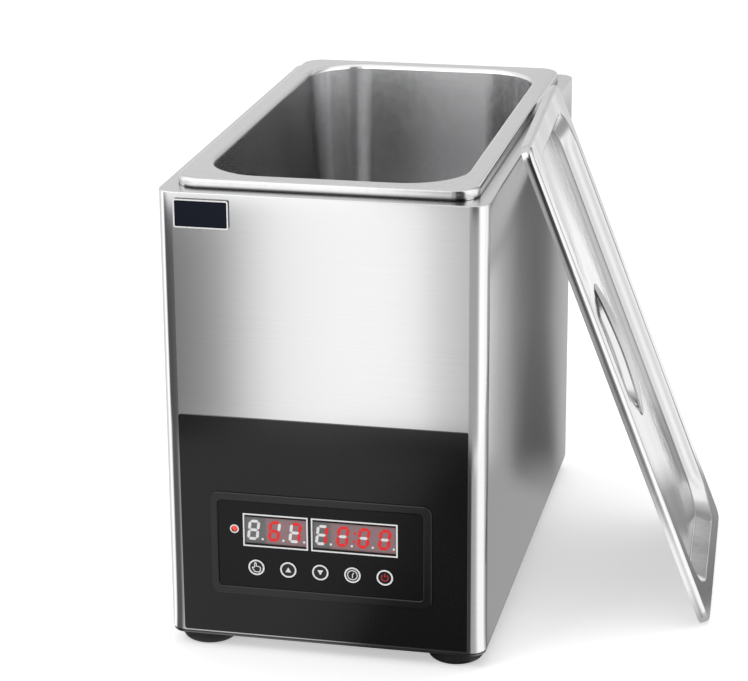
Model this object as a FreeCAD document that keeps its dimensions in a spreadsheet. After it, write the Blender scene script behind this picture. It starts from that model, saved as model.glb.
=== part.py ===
import FreeCAD, Part
import math
import os
from types import SimpleNamespace

import Sketcher
from FreeCAD import Placement, Rotation, Vector

# Counter-top egg boiler with a lift-out 1/3 gastronorm pan and a loose stamped lid.
# Millimetres. X runs to the right of someone facing the controls, Y runs from the controls to the
# rear, Z is up. The origin is the centre of the four feet, on the surface that they stand on.

doc = FreeCAD.newDocument("EggBoiler")

# ---------------------------------------------------------------------------------------------
# Driving dimensions
# ---------------------------------------------------------------------------------------------

SIZES = (
    # casing
    ("body_lift", 11.0, "worktop to the bottom edge of the wrap"),
    ("corner_bend", 10.0, "outside radius of the wrap's upright bends"),
    ("shell_sheet", 0.8, "sheet of the wrap"),
    ("seam_gap", 0.3, "air between a sheet and the flange that stands inside it"),
    ("rest_gap", 0.2, "air under a loose piece that is set down on another"),
    ("rear_flange", 14.0, "width of the wrap's return flanges beside the rear opening"),
    # deck
    ("deck_side_margin", 8.0, "bare deck on each side of the pan's rim"),
    ("deck_end_margin", 9.5, "bare deck in front of and behind the pan's rim"),
    ("deck_sheet", 1.0, "sheet of the deck"),
    ("deck_skirt", 12.0, "depth of the deck's turned-down edge"),
    ("deck_edge_radius", 0.8, "round on the deck's upper edge"),
    # base tray and feet
    ("tray_sheet", 1.0, "sheet of the base tray"),
    ("tray_gap", 1.1, "shadow gap between the wrap and the base tray"),
    ("tray_inset", 0.6, "how far the tray's edge stands inside the wrap's outline"),
    ("tray_flange", 14.0, "height of the tray's upturned edge"),
    ("bay_height", 99.3, "room for the electrics between the tray and the well"),
    ("foot_diameter", 34.0, "rubber foot where it meets the tray"),
    ("foot_round", 4.5, "round at the bottom of a foot"),
    ("foot_inset", 20.3, "foot centre from the sides of the wrap"),
    ("foot_recess_diameter", 9.0, "screw recess in a foot"),
    ("foot_recess_depth", 3.6, "depth of that recess"),
    ("foot_screw_diameter", 4.0, "shank of a foot screw"),
    ("foot_screw_head", 7.6, "head of a foot screw"),
    ("foot_screw_head_height", 2.4, "its height"),
    ("foot_nut_across", 7.0, "across flats of a foot nut"),
    ("foot_nut_height", 3.2, "height of a foot nut"),
    ("screw_hole_gap", 0.4, "how much wider a screw hole is than its screw"),
    # rear cover
    ("rear_sheet", 0.8, "sheet of the rear cover"),
    ("rear_cover_margin", 2.0, "bare wrap left round the rear cover"),
    ("rear_screw_diameter", 4.0, "shank of a rear screw"),
    ("rear_screw_head", 7.4, "head of a rear screw"),
    ("rear_screw_head_height", 2.2, "its height"),
    ("rear_screw_reach", 5.0, "how far a rear screw reaches past the flange"),
    ("rear_screw_end", 14.0, "top and bottom screws from the ends of the cover"),
    ("vent_length", 44.0, "length of a ventilation slot"),
    ("vent_width", 3.2, "width of a ventilation slot"),
    ("vent_pitch", 9.0, "distance from one slot to the next"),
    ("vent_height", 26.0, "lowest rear slot above the wrap's bottom edge"),
    ("vent_offset", 35.0, "rear slots from the middle of the cover, away from the gland"),
    ("cover_corner", 1.5, "corner radius of the rear cover"),
    # gastronorm 1/3 pan
    ("pan_length", 325.0, "outside length of the rim"),
    ("pan_width", 176.0, "outside width of the rim"),
    ("pan_depth", 150.0, "rim to the underside of the floor"),
    ("pan_sheet", 0.8, "sheet of the pan"),
    ("pan_flange", 12.5, "rim edge to the mouth"),
    ("pan_lip", 6.0, "height of the turned-down lip"),
    ("pan_corner", 14.0, "outside corner radius of the rim"),
    ("pan_mouth_corner", 36.0, "corner radius of the mouth"),
    ("pan_taper", 10.0, "how far each wall leans in from mouth to floor"),
    ("pan_floor_round", 14.0, "round between wall and floor"),
    ("pan_rim_bend", 2.2, "outside radius where the rim turns down"),
    ("pan_mouth_bend", 3.0, "round where the flange dips into the mouth"),
    # well
    ("well_gap", 2.0, "air between the pan's mouth and the well wall"),
    ("well_sheet", 0.8, "sheet of the well"),
    ("well_flange", 6.0, "flange of the well under the deck"),
    ("well_floor_round", 12.0, "round between the well's wall and floor"),
    ("jacket_thickness", 10.0, "mineral wool round the well"),
    ("jacket_gap", 0.4, "air between the wool and the well"),
    # heating element and what else stands in the well floor
    ("element_tube", 8.0, "diameter of the sheathed element"),
    ("element_height", 12.0, "well floor to the element's centre line"),
    ("element_side", 24.3, "element legs from the side walls of the well"),
    ("element_rear", 28.8, "element legs and probe from the rear wall of the well"),
    ("element_wall_gap", 2.8, "air between the element's front bends and the well's wall"),
    ("element_probe_gap", 3.0, "air between the element's rear bend and the probe"),
    ("element_pan_gap", 13.2, "air between the element and the pan's floor"),
    ("element_rise", 10.0, "radius of the bends at the top of the legs"),
    ("element_bush", 14.0, "threaded bush on a leg"),
    ("element_bush_length", 14.0, "bush below its collar"),
    ("element_collar", 20.0, "collar above the floor"),
    ("element_collar_height", 2.5, "its height"),
    ("element_pin", 3.0, "terminal pin of the element"),
    ("element_pin_length", 9.0, "its length"),
    ("element_nut_across", 19.0, "across flats of the element's nuts"),
    ("floor_nut_height", 5.0, "height of the nuts under the well floor"),
    ("seal_thickness", 1.6, "sealing washers in the well"),
    ("probe_diameter", 6.0, "temperature probe"),
    ("probe_height", 26.0, "probe above the well floor"),
    ("probe_tip_round", 2.7, "round at its tip"),
    ("probe_bush", 10.0, "threaded bush of the probe"),
    ("probe_collar", 15.0, "collar of the probe"),
    ("probe_nut_across", 14.0, "across flats of the probe's nut"),
    ("cutout_diameter", 16.0, "overheat cut-out"),
    ("cutout_height", 8.0, "its height"),
    ("cutout_place", 40.0, "cut-out in front of the well's centre"),
    ("tab_width", 5.2, "spade terminals of the cut-out"),
    ("tab_spacing", 8.0, "distance between its two terminals"),
    ("tab_length", 9.0, "their length"),
    ("bracket_length", 36.0, "clamp that holds the cut-out"),
    ("bracket_width", 14.0, "its width"),
    ("bracket_sheet", 1.0, "its sheet"),
    ("bracket_hole", 12.8, "hole in it that the terminals pass"),
    ("bracket_post", 4.6, "posts between it and the well floor"),
    ("bracket_post_inset", 3.5, "posts from its ends"),
    # fascia and controls on the front
    ("fascia_thickness", 0.8, "black sheet on the front"),
    ("fascia_height", 137.0, "its height"),
    ("fascia_drop", 1.0, "bare steel below the fascia"),
    ("fascia_corner", 1.5, "its corner radius"),
    ("control_x", -1.8, "centre of the controls from the middle of the front"),
    ("control_z", 59.0, "centre of the controls above the wrap's bottom edge"),
    ("bezel_width", 133.4, "outside width of the raised bezel"),
    ("bezel_height", 64.6, "outside height of the raised bezel"),
    ("bezel_band", 5.0, "width of the bezel's band"),
    ("bezel_thickness", 1.1, "how far the bezel stands off the fascia"),
    ("bezel_corner", 5.0, "outside corner radius of the bezel"),
    ("bezel_inner_corner", 2.5, "corner radius of the bezel's opening"),
    ("bezel_round", 0.66, "round on the bezel's front edges"),
    ("film_thickness", 0.5, "keypad film"),
    ("film_gap", 0.2, "air between the film and the bezel"),
    ("opening_gap", 1.6, "air round what passes through the opening in the fascia and the wrap"),
    ("opening_corner", 1.5, "corner radius of that opening"),
    ("window_height", 16.8, "display windows in the film"),
    ("window_rise", 9.35, "windows above the centre of the controls"),
    ("window_spacing", 3.5, "film between the two windows"),
    ("module_pitch", 12.57, "width of one digit of a display module"),
    ("module_height", 19.0, "height of a display module"),
    ("module_gap", 0.2, "air between a module's face and the film"),
    ("pin_diameter", 0.75, "pins of a display module"),
    ("pin_pitch", 5.08, "distance from pin to pin"),
    ("pin_rows", 15.24, "distance between the two rows of pins"),
    ("pin_tail", 1.5, "pins behind the control board"),
    ("digit_height", 12.8, "height of a digit"),
    ("digit_width", 7.0, "width of a digit"),
    ("digit_stroke", 1.75, "width of a segment"),
    ("digit_slant", 7.0, "lean of the digits, in degrees"),
    ("digit_relief", 0.15, "how far a segment stands off its module"),
    ("digit_shift", 0.75, "digits left of the middle of their places"),
    ("digit_mitre", 0.22, "from the tip of a segment to the corner where two meet"),
    ("digit_point", 1.47, "decimal points and dots of the colon"),
    ("digit_point_right", 5.4, "decimal point from the middle of its digit"),
    ("colon_spacing", 5.1, "distance between the dots of the colon"),
    ("lamp_left", 51.8, "heating lamp to the left of the centre of the controls"),
    ("lamp_diameter", 3.0, "heating lamp"),
    ("lamp_round", 1.05, "round at its tip"),
    ("lamp_flange", 3.9, "collar of the lamp"),
    ("lamp_flange_thickness", 0.8, "its thickness"),
    ("key_pitch", 19.4, "distance from key to key"),
    ("key_drop", 14.2, "keys below the centre of the controls"),
    ("key_diameter", 10.6, "key cap"),
    ("key_gap", 0.3, "air round a key cap"),
    ("key_proud", 0.3, "how far a key cap stands off the film"),
    ("key_round", 0.24, "round on a key cap's edge"),
    ("key_rim", 0.9, "how far a key's hidden rim reaches behind the film"),
    ("key_rim_thickness", 0.8, "its thickness"),
    ("key_stem", 4.0, "stem of a key"),
    ("key_stem_length", 1.5, "its length"),
    ("key_travel", 0.4, "how far a key goes in"),
    ("key_stop_gap", 0.1, "air between a key that is pressed home and its switch"),
    ("board_width", 128.0, "control board"),
    ("board_height", 56.0, "its height"),
    ("board_thickness", 1.6, "both circuit boards"),
    ("board_corner", 1.5, "corner radius of both circuit boards"),
    ("switch_side", 6.0, "side of a tact switch"),
    ("switch_height", 3.4, "its height on the board"),
    ("switch_plunger", 3.4, "its plunger"),
    ("plunger_height", 1.8, "how far the plunger stands off the switch"),
    ("chip_length", 18.0, "chip on the back of the control board"),
    ("chip_width", 6.0, "its width"),
    ("chip_height", 3.4, "its height"),
    ("buzzer_diameter", 12.0, "buzzer beside it"),
    ("buzzer_height", 8.4, "its height"),
    ("socket_width", 12.0, "plug socket between them"),
    ("socket_depth", 6.0, "its depth"),
    ("socket_height", 7.2, "its height"),
    ("board_part_pitch", 18.6, "distance from chip to socket to buzzer"),
    ("spacer_diameter", 6.0, "board spacers"),
    ("stud_diameter", 3.0, "studs and screws through the spacers"),
    ("stud_nut_across", 5.5, "nuts on the studs"),
    ("stud_nut_height", 2.4, "their height"),
    # power electronics on the base tray
    ("power_board_width", 84.0, "power board, across the casing"),
    ("power_board_length", 118.0, "power board, front to back"),
    ("power_board_lift", 8.0, "height of its spacers"),
    ("power_board_y", 20.0, "its centre behind the centre of the casing"),
    ("board_hole_inset", 5.0, "board holes from the board's edges"),
    ("core_width", 44.0, "transformer core, across"),
    ("core_length", 24.0, "transformer core, front to back"),
    ("core_height", 37.0, "its height"),
    ("coil_width", 30.0, "transformer coil, across"),
    ("coil_length", 36.0, "transformer coil, front to back"),
    ("coil_height", 26.0, "its height"),
    ("coil_corner", 1.5, "its corner radius"),
    ("relay_width", 13.0, "relay, across"),
    ("relay_length", 29.0, "relay, front to back"),
    ("relay_height", 25.0, "its height"),
    ("relay_chamfer", 1.0, "chamfer on its upper edges"),
    ("sink_width", 30.0, "heat sink, across"),
    ("sink_length", 44.0, "heat sink, front to back"),
    ("sink_height", 22.0, "its height"),
    ("sink_fin", 1.8, "thickness of a fin"),
    ("sink_base", 3.0, "thickness of its foot"),
    ("sink_inset", 11.0, "from the rear edge of the power board"),
    ("terminal_pitch", 12.0, "one way of the terminal block"),
    ("terminal_width", 20.0, "terminal block, front to back"),
    ("terminal_height", 16.0, "its height"),
    ("terminal_base", 10.6, "height of its base"),
    ("terminal_inset", 38.0, "its centre from the rear of the casing"),
    ("way_width", 8.4, "clamp of one way, across"),
    ("way_length", 12.0, "clamp of one way, front to back"),
    ("way_screw", 4.8, "screw hole of one way"),
    ("earth_diameter", 5.0, "earth stud"),
    ("earth_height", 18.0, "its height"),
    ("earth_nut_across", 8.0, "its nut"),
    ("earth_nut_rise", 5.3, "its nut above the tray"),
    # cable gland in the rear cover
    ("gland_x", 46.0, "gland from the middle of the rear cover"),
    ("gland_z", 30.0, "gland above the wrap's bottom edge"),
    ("gland_bore", 7.5, "hole for the mains cord"),
    ("gland_thread", 16.0, "threaded stem of the gland"),
    ("gland_stem", 11.0, "its length inside the cover"),
    ("gland_across", 19.0, "across flats of the gland"),
    ("gland_hex", 5.0, "thickness of its hexagon"),
    ("gland_dome", 10.0, "length of its dome nut"),
    ("gland_dome_diameter", 18.0, "diameter of its dome nut"),
    ("gland_dome_round", 4.0, "round at the end of its dome nut"),
    ("gland_nut_across", 21.0, "across flats of the lock nut"),
    ("gland_nut_height", 4.5, "its height"),
    # bare badge plate
    ("badge_width", 32.4, "badge plate"),
    ("badge_height", 16.9, "its height"),
    ("badge_left", 1.0, "its left edge from the left end of the flat front"),
    ("badge_top", 3.7, "its top edge below the top of the deck"),
    ("badge_thickness", 1.6, "its thickness"),
    ("badge_border", 0.8, "its raised border"),
    ("badge_inlay", 0.5, "thickness of the inlay in it"),
    ("badge_corner", 1.2, "its corner radius"),
    # stamped lid
    ("lid_length", 317.0, "outside length"),
    ("lid_width", 176.0, "outside width"),
    ("lid_sheet", 0.8, "sheet of the lid"),
    ("lid_lip", 6.3, "height of the turned-down lip"),
    ("lid_corner", 9.0, "outside corner radius"),
    ("lid_flange", 13.0, "lid edge to the dished centre"),
    ("lid_dish_corner", 30.0, "corner radius of the dished centre"),
    ("lid_dish", 8.8, "depth of the dished centre"),
    ("lid_dish_run", 8.0, "how far the dish wall leans in"),
    ("lid_bend", 3.0, "outside radius where the lid turns down"),
    ("lid_dish_bend", 2.5, "rounds at the top and the foot of the dish wall"),
    ("recess_length", 78.0, "length of the hand recess"),
    ("recess_width", 48.0, "width of the hand recess"),
    ("recess_depth", 6.5, "depth of the hand recess below the dish"),
    ("recess_run", 7.0, "how far the wall of the recess leans in"),
    ("strap_overlap", 6.0, "how far the strap laps onto the dish at each end"),
    ("strap_width", 22.0, "width of the strap in the middle"),
    ("strap_end", 10.0, "width of the strap at its ends"),
    ("strap_waist", 19.5, "half the length of the strap's wide middle"),
    ("strap_thickness", 1.2, "sheet of the strap"),
    ("strap_rise", 3.0, "how far the strap bows up over the recess"),
    ("strap_round", 90.0, "round at the shoulders of the strap"),
    ("strap_end_round", 4.0, "round at the corners of its ends"),
    # where the lid leans
    ("lid_lean", 21.2, "lean of the lid from upright, in degrees"),
    ("lid_yaw", 3.0, "turn of the lid about the vertical, in degrees"),
)


class Size:
    """A size: its value now, and the expression that ties it to the sheet."""

    def __init__(self, value, text):
        self.value = value
        self.text = text

    def __add__(self, other):
        other = as_size(other)
        return Size(self.value + other.value, f"({self.text} + {other.text})")

    def __sub__(self, other):
        other = as_size(other)
        return Size(self.value - other.value, f"({self.text} - {other.text})")

    def __mul__(self, other):
        other = as_size(other)
        return Size(self.value * other.value, f"({self.text} * {other.text})")

    def __truediv__(self, other):
        other = as_size(other)
        return Size(self.value / other.value, f"({self.text} / {other.text})")

    def __neg__(self):
        return Size(-self.value, f"(-1 * {self.text})")

    def __radd__(self, other):
        return as_size(other) + self

    def __rsub__(self, other):
        return as_size(other) - self

    def __rmul__(self, other):
        return as_size(other) * self


def as_size(item):
    """A plain number becomes a size with a constant expression."""
    return item if isinstance(item, Size) else Size(float(item), f"({float(item)!r})")


def write_sheet():
    """Write the driving dimensions into the spreadsheet and hand them back by name."""
    sheet = doc.addObject("Spreadsheet::Sheet", "Sizes")
    named = {}
    for row, (name, value, note) in enumerate(SIZES, start=1):
        sheet.set(f"A{row}", name)
        sheet.set(f"B{row}", str(value))
        sheet.set(f"C{row}", note)
        sheet.setAlias(f"B{row}", name)
        named[name] = Size(value, f"Sizes.{name}")
    doc.recompute()
    return SimpleNamespace(**named)


dim = write_sheet()

# ---------------------------------------------------------------------------------------------
# Modelling helpers
# ---------------------------------------------------------------------------------------------

SHARP = 0.001  # two places this close are the same place
Y_AXIS, Z_AXIS = Vector(0, 1, 0), Vector(0, 0, 1)
nodes = []


def new_body(name):
    """A sub-part of the boiler, kept for the export."""
    body = doc.addObject("PartDesign::Body", name)
    body.Label = name
    body.AllowCompound = True
    nodes.append(body)
    return body


def new_sketch(body, plane, height):
    """A sketch across the named axis, at a height along that axis."""
    sketch = body.newObject("Sketcher::SketchObject", f"{body.Label}_sketch")
    support = next(item for item in body.Origin.OriginFeatures if item.Role == f"{plane}_Plane")
    sketch.AttachmentSupport = [(support, "")]
    sketch.MapMode = "FlatFace"
    # the XZ plane of a body faces -Y
    offset = -as_size(height) if plane == "XZ" else as_size(height)
    sketch.AttachmentOffset = Placement(Vector(0, 0, offset.value), Rotation())
    sketch.setExpression("AttachmentOffset.Base.z", offset.text)
    return sketch


def fix(sketch, kind, *where, size):
    """One driving dimension of a sketch, tied to its size."""
    size = as_size(size)
    index = sketch.addConstraint(Sketcher.Constraint(kind, *where, size.value))
    sketch.setExpression(f"Constraints[{index}]", size.text)


def rectangle(sketch, x_low, x_high, y_low, y_high, radius=None):
    """A rectangle, with rounded corners where a radius is given."""
    x_low, x_high, y_low, y_high = (as_size(item) for item in (x_low, x_high, y_low, y_high))
    left, right, low, high = x_low.value, x_high.value, y_low.value, y_high.value
    bend = as_size(radius).value if radius is not None else 0.0
    corners = (
        (Vector(left + bend, low), Vector(right - bend, low)),
        (Vector(right, low + bend), Vector(right, high - bend)),
        (Vector(right - bend, high), Vector(left + bend, high)),
        (Vector(left, high - bend), Vector(left, low + bend)),
    )
    sides = [sketch.addGeometry(Part.LineSegment(*ends), False) for ends in corners]
    constraints = [Sketcher.Constraint("Horizontal", sides[index]) for index in (0, 2)]
    constraints += [Sketcher.Constraint("Vertical", sides[index]) for index in (1, 3)]
    if bend:
        centres = (
            Vector(right - bend, low + bend),
            Vector(right - bend, high - bend),
            Vector(left + bend, high - bend),
            Vector(left + bend, low + bend),
        )
        arcs = []
        for index, centre in enumerate(centres):
            start = (index - 1) * math.pi / 2
            circle_of_arc = Part.Circle(centre, Z_AXIS, bend)
            arc = Part.ArcOfCircle(circle_of_arc, start, start + math.pi / 2)
            arcs.append(sketch.addGeometry(arc, False))
        for index, arc in enumerate(arcs):
            constraints.append(Sketcher.Constraint("Tangent", sides[index], 2, arc, 1))
            constraints.append(Sketcher.Constraint("Tangent", arc, 2, sides[(index + 1) % 4], 1))
        for arc in arcs[1:]:
            constraints.append(Sketcher.Constraint("Equal", arcs[0], arc))
    else:
        for index, side in enumerate(sides):
            following = sides[(index + 1) % 4]
            constraints.append(Sketcher.Constraint("Coincident", side, 2, following, 1))
    sketch.addConstraint(constraints)
    if bend:
        fix(sketch, "Radius", arcs[0], size=radius)
    fix(sketch, "DistanceY", -1, 1, sides[0], 1, size=y_low)
    fix(sketch, "DistanceX", -1, 1, sides[1], 1, size=x_high)
    fix(sketch, "DistanceY", -1, 1, sides[2], 1, size=y_high)
    fix(sketch, "DistanceX", -1, 1, sides[3], 1, size=x_low)


def centred(sketch, width, height, radius=None, x=0, y=0):
    """A rectangle about a centre."""
    x, y = as_size(x), as_size(y)
    width, height = as_size(width), as_size(height)
    rectangle(sketch, x - width / 2, x + width / 2, y - height / 2, y + height / 2, radius)


def circle(sketch, x, y, diameter):
    """A circle at a place."""
    x, y, diameter = as_size(x), as_size(y), as_size(diameter)
    centre = Vector(x.value, y.value, 0)
    ring = sketch.addGeometry(Part.Circle(centre, Z_AXIS, diameter.value / 2), False)
    fix(sketch, "Diameter", ring, size=diameter)
    fix(sketch, "DistanceX", -1, 1, ring, 3, size=x)
    fix(sketch, "DistanceY", -1, 1, ring, 3, size=y)


def outline(sketch, points):
    """A closed outline of straight runs, each corner at its own place."""
    points = [(as_size(x), as_size(y)) for x, y in points]
    places = [Vector(x.value, y.value, 0) for x, y in points]
    count = len(places)
    runs = [
        sketch.addGeometry(Part.LineSegment(places[index], places[(index + 1) % count]), False)
        for index in range(count)
    ]
    for index, run in enumerate(runs):
        sketch.addConstraint(Sketcher.Constraint("Coincident", run, 2, runs[(index + 1) % count], 1))
    for run, (x, y) in zip(runs, points):
        fix(sketch, "DistanceX", -1, 1, run, 1, size=x)
        fix(sketch, "DistanceY", -1, 1, run, 1, size=y)


def hexagon(sketch, x, y, across):
    """A hexagon with two level sides."""
    x, y, across = as_size(x), as_size(y), as_size(across)
    corner = across / math.sqrt(3)
    outline(
        sketch,
        (
            (x + corner, y),
            (x + corner / 2, y + across / 2),
            (x - corner / 2, y + across / 2),
            (x - corner, y),
            (x - corner / 2, y - across / 2),
            (x + corner / 2, y - across / 2),
        ),
    )


def settle(feature):
    """Work a new feature out, and stop if it failed."""
    doc.recompute()
    if "Invalid" in feature.State or "Error" in feature.State or feature.Shape.isNull():
        raise RuntimeError(f"{feature.Name} failed: {feature.getStatusString()}")
    return feature


def slab(body, plane, low, high, draw):
    """Material from low to high across a plane, in the shape that draw puts in the sketch."""
    low, high = as_size(low), as_size(high)
    sketch = new_sketch(body, plane, high if plane == "XZ" else low)
    draw(sketch)
    pad = body.newObject("PartDesign::Pad", f"{body.Label}_pad")
    pad.Profile = sketch
    pad.Length = high.value - low.value
    pad.setExpression("Length", (high - low).text)
    return settle(pad)


def cut(body, plane, low, high, draw):
    """Take away from low to high across a plane. It has to take something away."""
    low, high = as_size(low), as_size(high)
    before = body.Tip.Shape.Volume
    sketch = new_sketch(body, plane, low if plane == "XZ" else high)
    draw(sketch)
    pocket = body.newObject("PartDesign::Pocket", f"{body.Label}_pocket")
    pocket.Profile = sketch
    pocket.Length = high.value - low.value
    pocket.setExpression("Length", (high - low).text)
    settle(pocket)
    if pocket.Shape.Volume > before - SHARP:
        raise RuntimeError(f"a pocket of {body.Label} takes nothing away")
    return pocket


def loft(body, kind, lower, draw_lower, upper, draw_upper):
    """A loft between two level outlines, added to the body or taken from it."""
    first = new_sketch(body, "XY", lower)
    draw_lower(first)
    second = new_sketch(body, "XY", upper)
    draw_upper(second)
    feature = body.newObject(f"PartDesign::{kind}", f"{body.Label}_loft")
    feature.Profile = first
    feature.Sections = [second]
    feature.Ruled = True
    return settle(feature)


def edges_where(body, test):
    """Names of the edges of the body, as it stands, that pass a test."""
    edges = body.Tip.Shape.Edges
    return [f"Edge{index}" for index, edge in enumerate(edges, start=1) if test(edge)]


def dress(body, kind, test, size):
    """A fillet or chamfer on the edges that pass a test."""
    names = edges_where(body, test)
    if not names:
        raise RuntimeError(f"no edge of {body.Label} passes the test of a {kind}")
    solid = body.Tip
    feature = body.newObject(f"PartDesign::{kind}", f"{body.Label}_{kind}")
    feature.Base = (solid, names)
    drive = "Radius" if kind == "Fillet" else "Size"
    setattr(feature, drive, as_size(size).value)
    feature.setExpression(drive, as_size(size).text)
    return settle(feature)


def in_reach(edge, within, beyond):
    """Whether the middle of an edge is within, or beyond, half a width and half a length."""
    middle = edge.valueAt((edge.FirstParameter + edge.LastParameter) / 2)

    def inside(limits):
        width, length = (as_size(limit).value for limit in limits)
        return abs(middle.x) < width and abs(middle.y) < length

    return (within is None or inside(within)) and (beyond is None or not inside(beyond))


def lies_at(plane, height, within=None, beyond=None):
    """A test for edges that lie across an axis at a height."""
    level = as_size(height).value

    def test(edge):
        box = edge.BoundBox
        low, high = {"XY": (box.ZMin, box.ZMax), "XZ": (box.YMin, box.YMax)}[plane]
        flat = abs(low - level) < SHARP and abs(high - level) < SHARP
        return flat and in_reach(edge, within, beyond)

    return test


def stands_up(within=None, beyond=None):
    """A test for straight edges along Z."""

    def test(edge):
        box = edge.BoundBox
        upright = box.XLength < SHARP and box.YLength < SHARP
        return upright and in_reach(edge, within, beyond)

    return test


# ---------------------------------------------------------------------------------------------
# Places that several sub-parts share
# ---------------------------------------------------------------------------------------------

# the casing is as wide and as deep as the pan and the deck's margins round it
body_width = dim.pan_width + 2 * dim.deck_side_margin
body_depth = dim.pan_length + 2 * dim.deck_end_margin
half_width = body_width / 2
half_depth = body_depth / 2
front = -half_depth
back = half_depth
nest = dim.shell_sheet + dim.seam_gap

# the casing is as high as what it holds: from the tray up, the electrics, the well with the
# element in it, the pan over the element, and the deck that the pan's rim rests on
wrap_bottom = dim.body_lift
tray_top = wrap_bottom - dim.tray_gap
tray_under = tray_top - dim.tray_sheet
well_under = tray_top + dim.bay_height
well_floor = well_under + dim.well_sheet
element_level = well_floor + dim.element_height
pan_under = element_level + dim.element_tube / 2 + dim.element_pan_gap
pan_top = pan_under + dim.pan_depth
deck_top = pan_top - dim.pan_lip - dim.rest_gap
deck_under = deck_top - dim.deck_sheet

mouth_length = dim.pan_length - 2 * dim.pan_flange
mouth_width = dim.pan_width - 2 * dim.pan_flange
well_side = 2 * (dim.pan_sheet + dim.well_gap)
well_length = mouth_length + well_side
well_width = mouth_width + well_side
well_corner = dim.pan_mouth_corner + dim.pan_sheet + dim.well_gap

# halfway across the flange of the pan
pan_half = ((mouth_width + dim.pan_flange) / 2, (mouth_length + dim.pan_flange) / 2)

foot_places = [(x * (half_width - dim.foot_inset), y * (half_depth - dim.foot_inset))
               for x in (-1, 1) for y in (-1, 1)]

fascia_face = front - dim.fascia_thickness
film_face = fascia_face - dim.film_thickness
rim_face = fascia_face + dim.module_gap
rim_back = rim_face + dim.key_rim_thickness
stem_back = rim_back + dim.key_stem_length
switch_tip = stem_back + dim.key_travel + dim.key_stop_gap
board_face = switch_tip + dim.plunger_height + dim.switch_height
board_back = board_face + dim.board_thickness
control_z = wrap_bottom + dim.control_z
window_z = control_z + dim.window_rise
key_z = control_z - dim.key_drop
KEYS = ("key_set", "key_up", "key_down", "key_timer", "key_power")
key_places = [dim.control_x + (index - 2) * dim.key_pitch for index in range(len(KEYS))]
lamp_x = dim.control_x - dim.lamp_left
TEMPERATURE_DIGITS, TIMER_DIGITS = 3, 4
temperature_width = TEMPERATURE_DIGITS * dim.module_pitch
timer_width = TIMER_DIGITS * dim.module_pitch
windows_left = dim.control_x - (temperature_width + timer_width + dim.window_spacing) / 2
temperature_x = windows_left + temperature_width / 2
timer_x = windows_left + temperature_width + dim.window_spacing + timer_width / 2
# the opening in the fascia and the wrap clears the keys' rims, the lamp and both displays
key_rim_radius = dim.key_diameter / 2 + dim.key_rim
opening_low = key_z - key_rim_radius - dim.opening_gap
opening_high = window_z + dim.module_height / 2 + dim.opening_gap
opening_left = lamp_x - dim.lamp_flange / 2 - dim.opening_gap
opening_right = timer_x + timer_width / 2 + dim.opening_gap
stud_places = [(dim.control_x + x * (dim.board_width / 2 - dim.board_hole_inset),
                control_z + y * (dim.board_height / 2 - dim.board_hole_inset))
               for x in (-1, 1) for y in (-1, 1)]

cover_side = half_width - dim.corner_bend - dim.rear_cover_margin
cover_low = wrap_bottom + dim.rear_cover_margin
cover_high = deck_under - dim.rear_cover_margin
rear_screw_x = half_width - dim.corner_bend - dim.rear_flange / 2
rear_screw_z = (cover_low + dim.rear_screw_end, (cover_low + cover_high) / 2,
                cover_high - dim.rear_screw_end)
rear_screws = [(x * rear_screw_x, z) for x in (-1, 1) for z in rear_screw_z]
cover_back = back + dim.rear_sheet
gland_z = wrap_bottom + dim.gland_z

power_under = tray_top + dim.power_board_lift
power_top = power_under + dim.board_thickness
power_holes = [(x * (dim.power_board_width / 2 - dim.board_hole_inset),
                dim.power_board_y + y * (dim.power_board_length / 2 - dim.board_hole_inset))
               for x in (-1, 1) for y in (-1, 1)]
# the transformer and the relay stand side by side
coil_line = dim.power_board_y - dim.power_board_length / 2 + dim.coil_length

# the element's four runs are evenly spaced between its legs
leg_x = well_width / 2 - dim.element_side
leg_y = well_length / 2 - dim.element_rear
element_bend = leg_x / 3
element_near = element_bend + dim.element_tube / 2 + dim.element_wall_gap - well_length / 2
element_far = leg_y - dim.probe_diameter / 2 - dim.element_probe_gap
element_far = element_far - dim.element_tube / 2 - element_bend
probe_y = leg_y
terminal_y = half_depth - dim.terminal_inset

SINK_FINS = 5
TERMINAL_WAYS = 4
VENT_ROWS = 6
TRAY_VENTS = 5
CLEAR = 1.0  # how far a cut runs past the face that it opens
SLOT_END = 0.016  # half the straight end that is left between the rounds of a slot


# ---------------------------------------------------------------------------------------------
# Casing
# ---------------------------------------------------------------------------------------------

def casing_ring(inset, thickness):
    """Draws the casing's outline as a ring of sheet, set in from the outside of the wrap."""
    inset, thickness = as_size(inset), as_size(thickness)

    def draw(sketch):
        for step in (inset, inset + thickness):
            centred(sketch, body_width - 2 * step, body_depth - 2 * step,
                    dim.corner_bend - step)

    return draw


def make_outer_wrap():
    """One sheet round the front and the sides, with return flanges at the rear."""
    body = new_body("outer_wrap")
    slab(body, "XY", wrap_bottom, deck_under, casing_ring(0, dim.shell_sheet))
    opening = body_width - 2 * (dim.corner_bend + dim.rear_flange)
    middle = (wrap_bottom + deck_under) / 2
    tall = deck_under - wrap_bottom + 2 * CLEAR
    cut(body, "XZ", back - dim.shell_sheet - CLEAR, back + CLEAR,
        lambda sketch: centred(sketch, opening, tall, y=middle))
    cut(body, "XZ", front - CLEAR, front + dim.shell_sheet + CLEAR, draw_control_opening)
    cut(body, "XZ", back - dim.shell_sheet - CLEAR, back + CLEAR,
        lambda sketch: rear_circles(sketch, dim.rear_screw_diameter + dim.screw_hole_gap))


def draw_control_opening(sketch):
    """The opening behind the keypad film."""
    rectangle(sketch, opening_left, opening_right, opening_low, opening_high, dim.opening_corner)


def slot(sketch, x, y):
    """A ventilation slot."""
    centred(sketch, dim.vent_length, dim.vent_width, dim.vent_width / 2 - SLOT_END, x, y)


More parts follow.
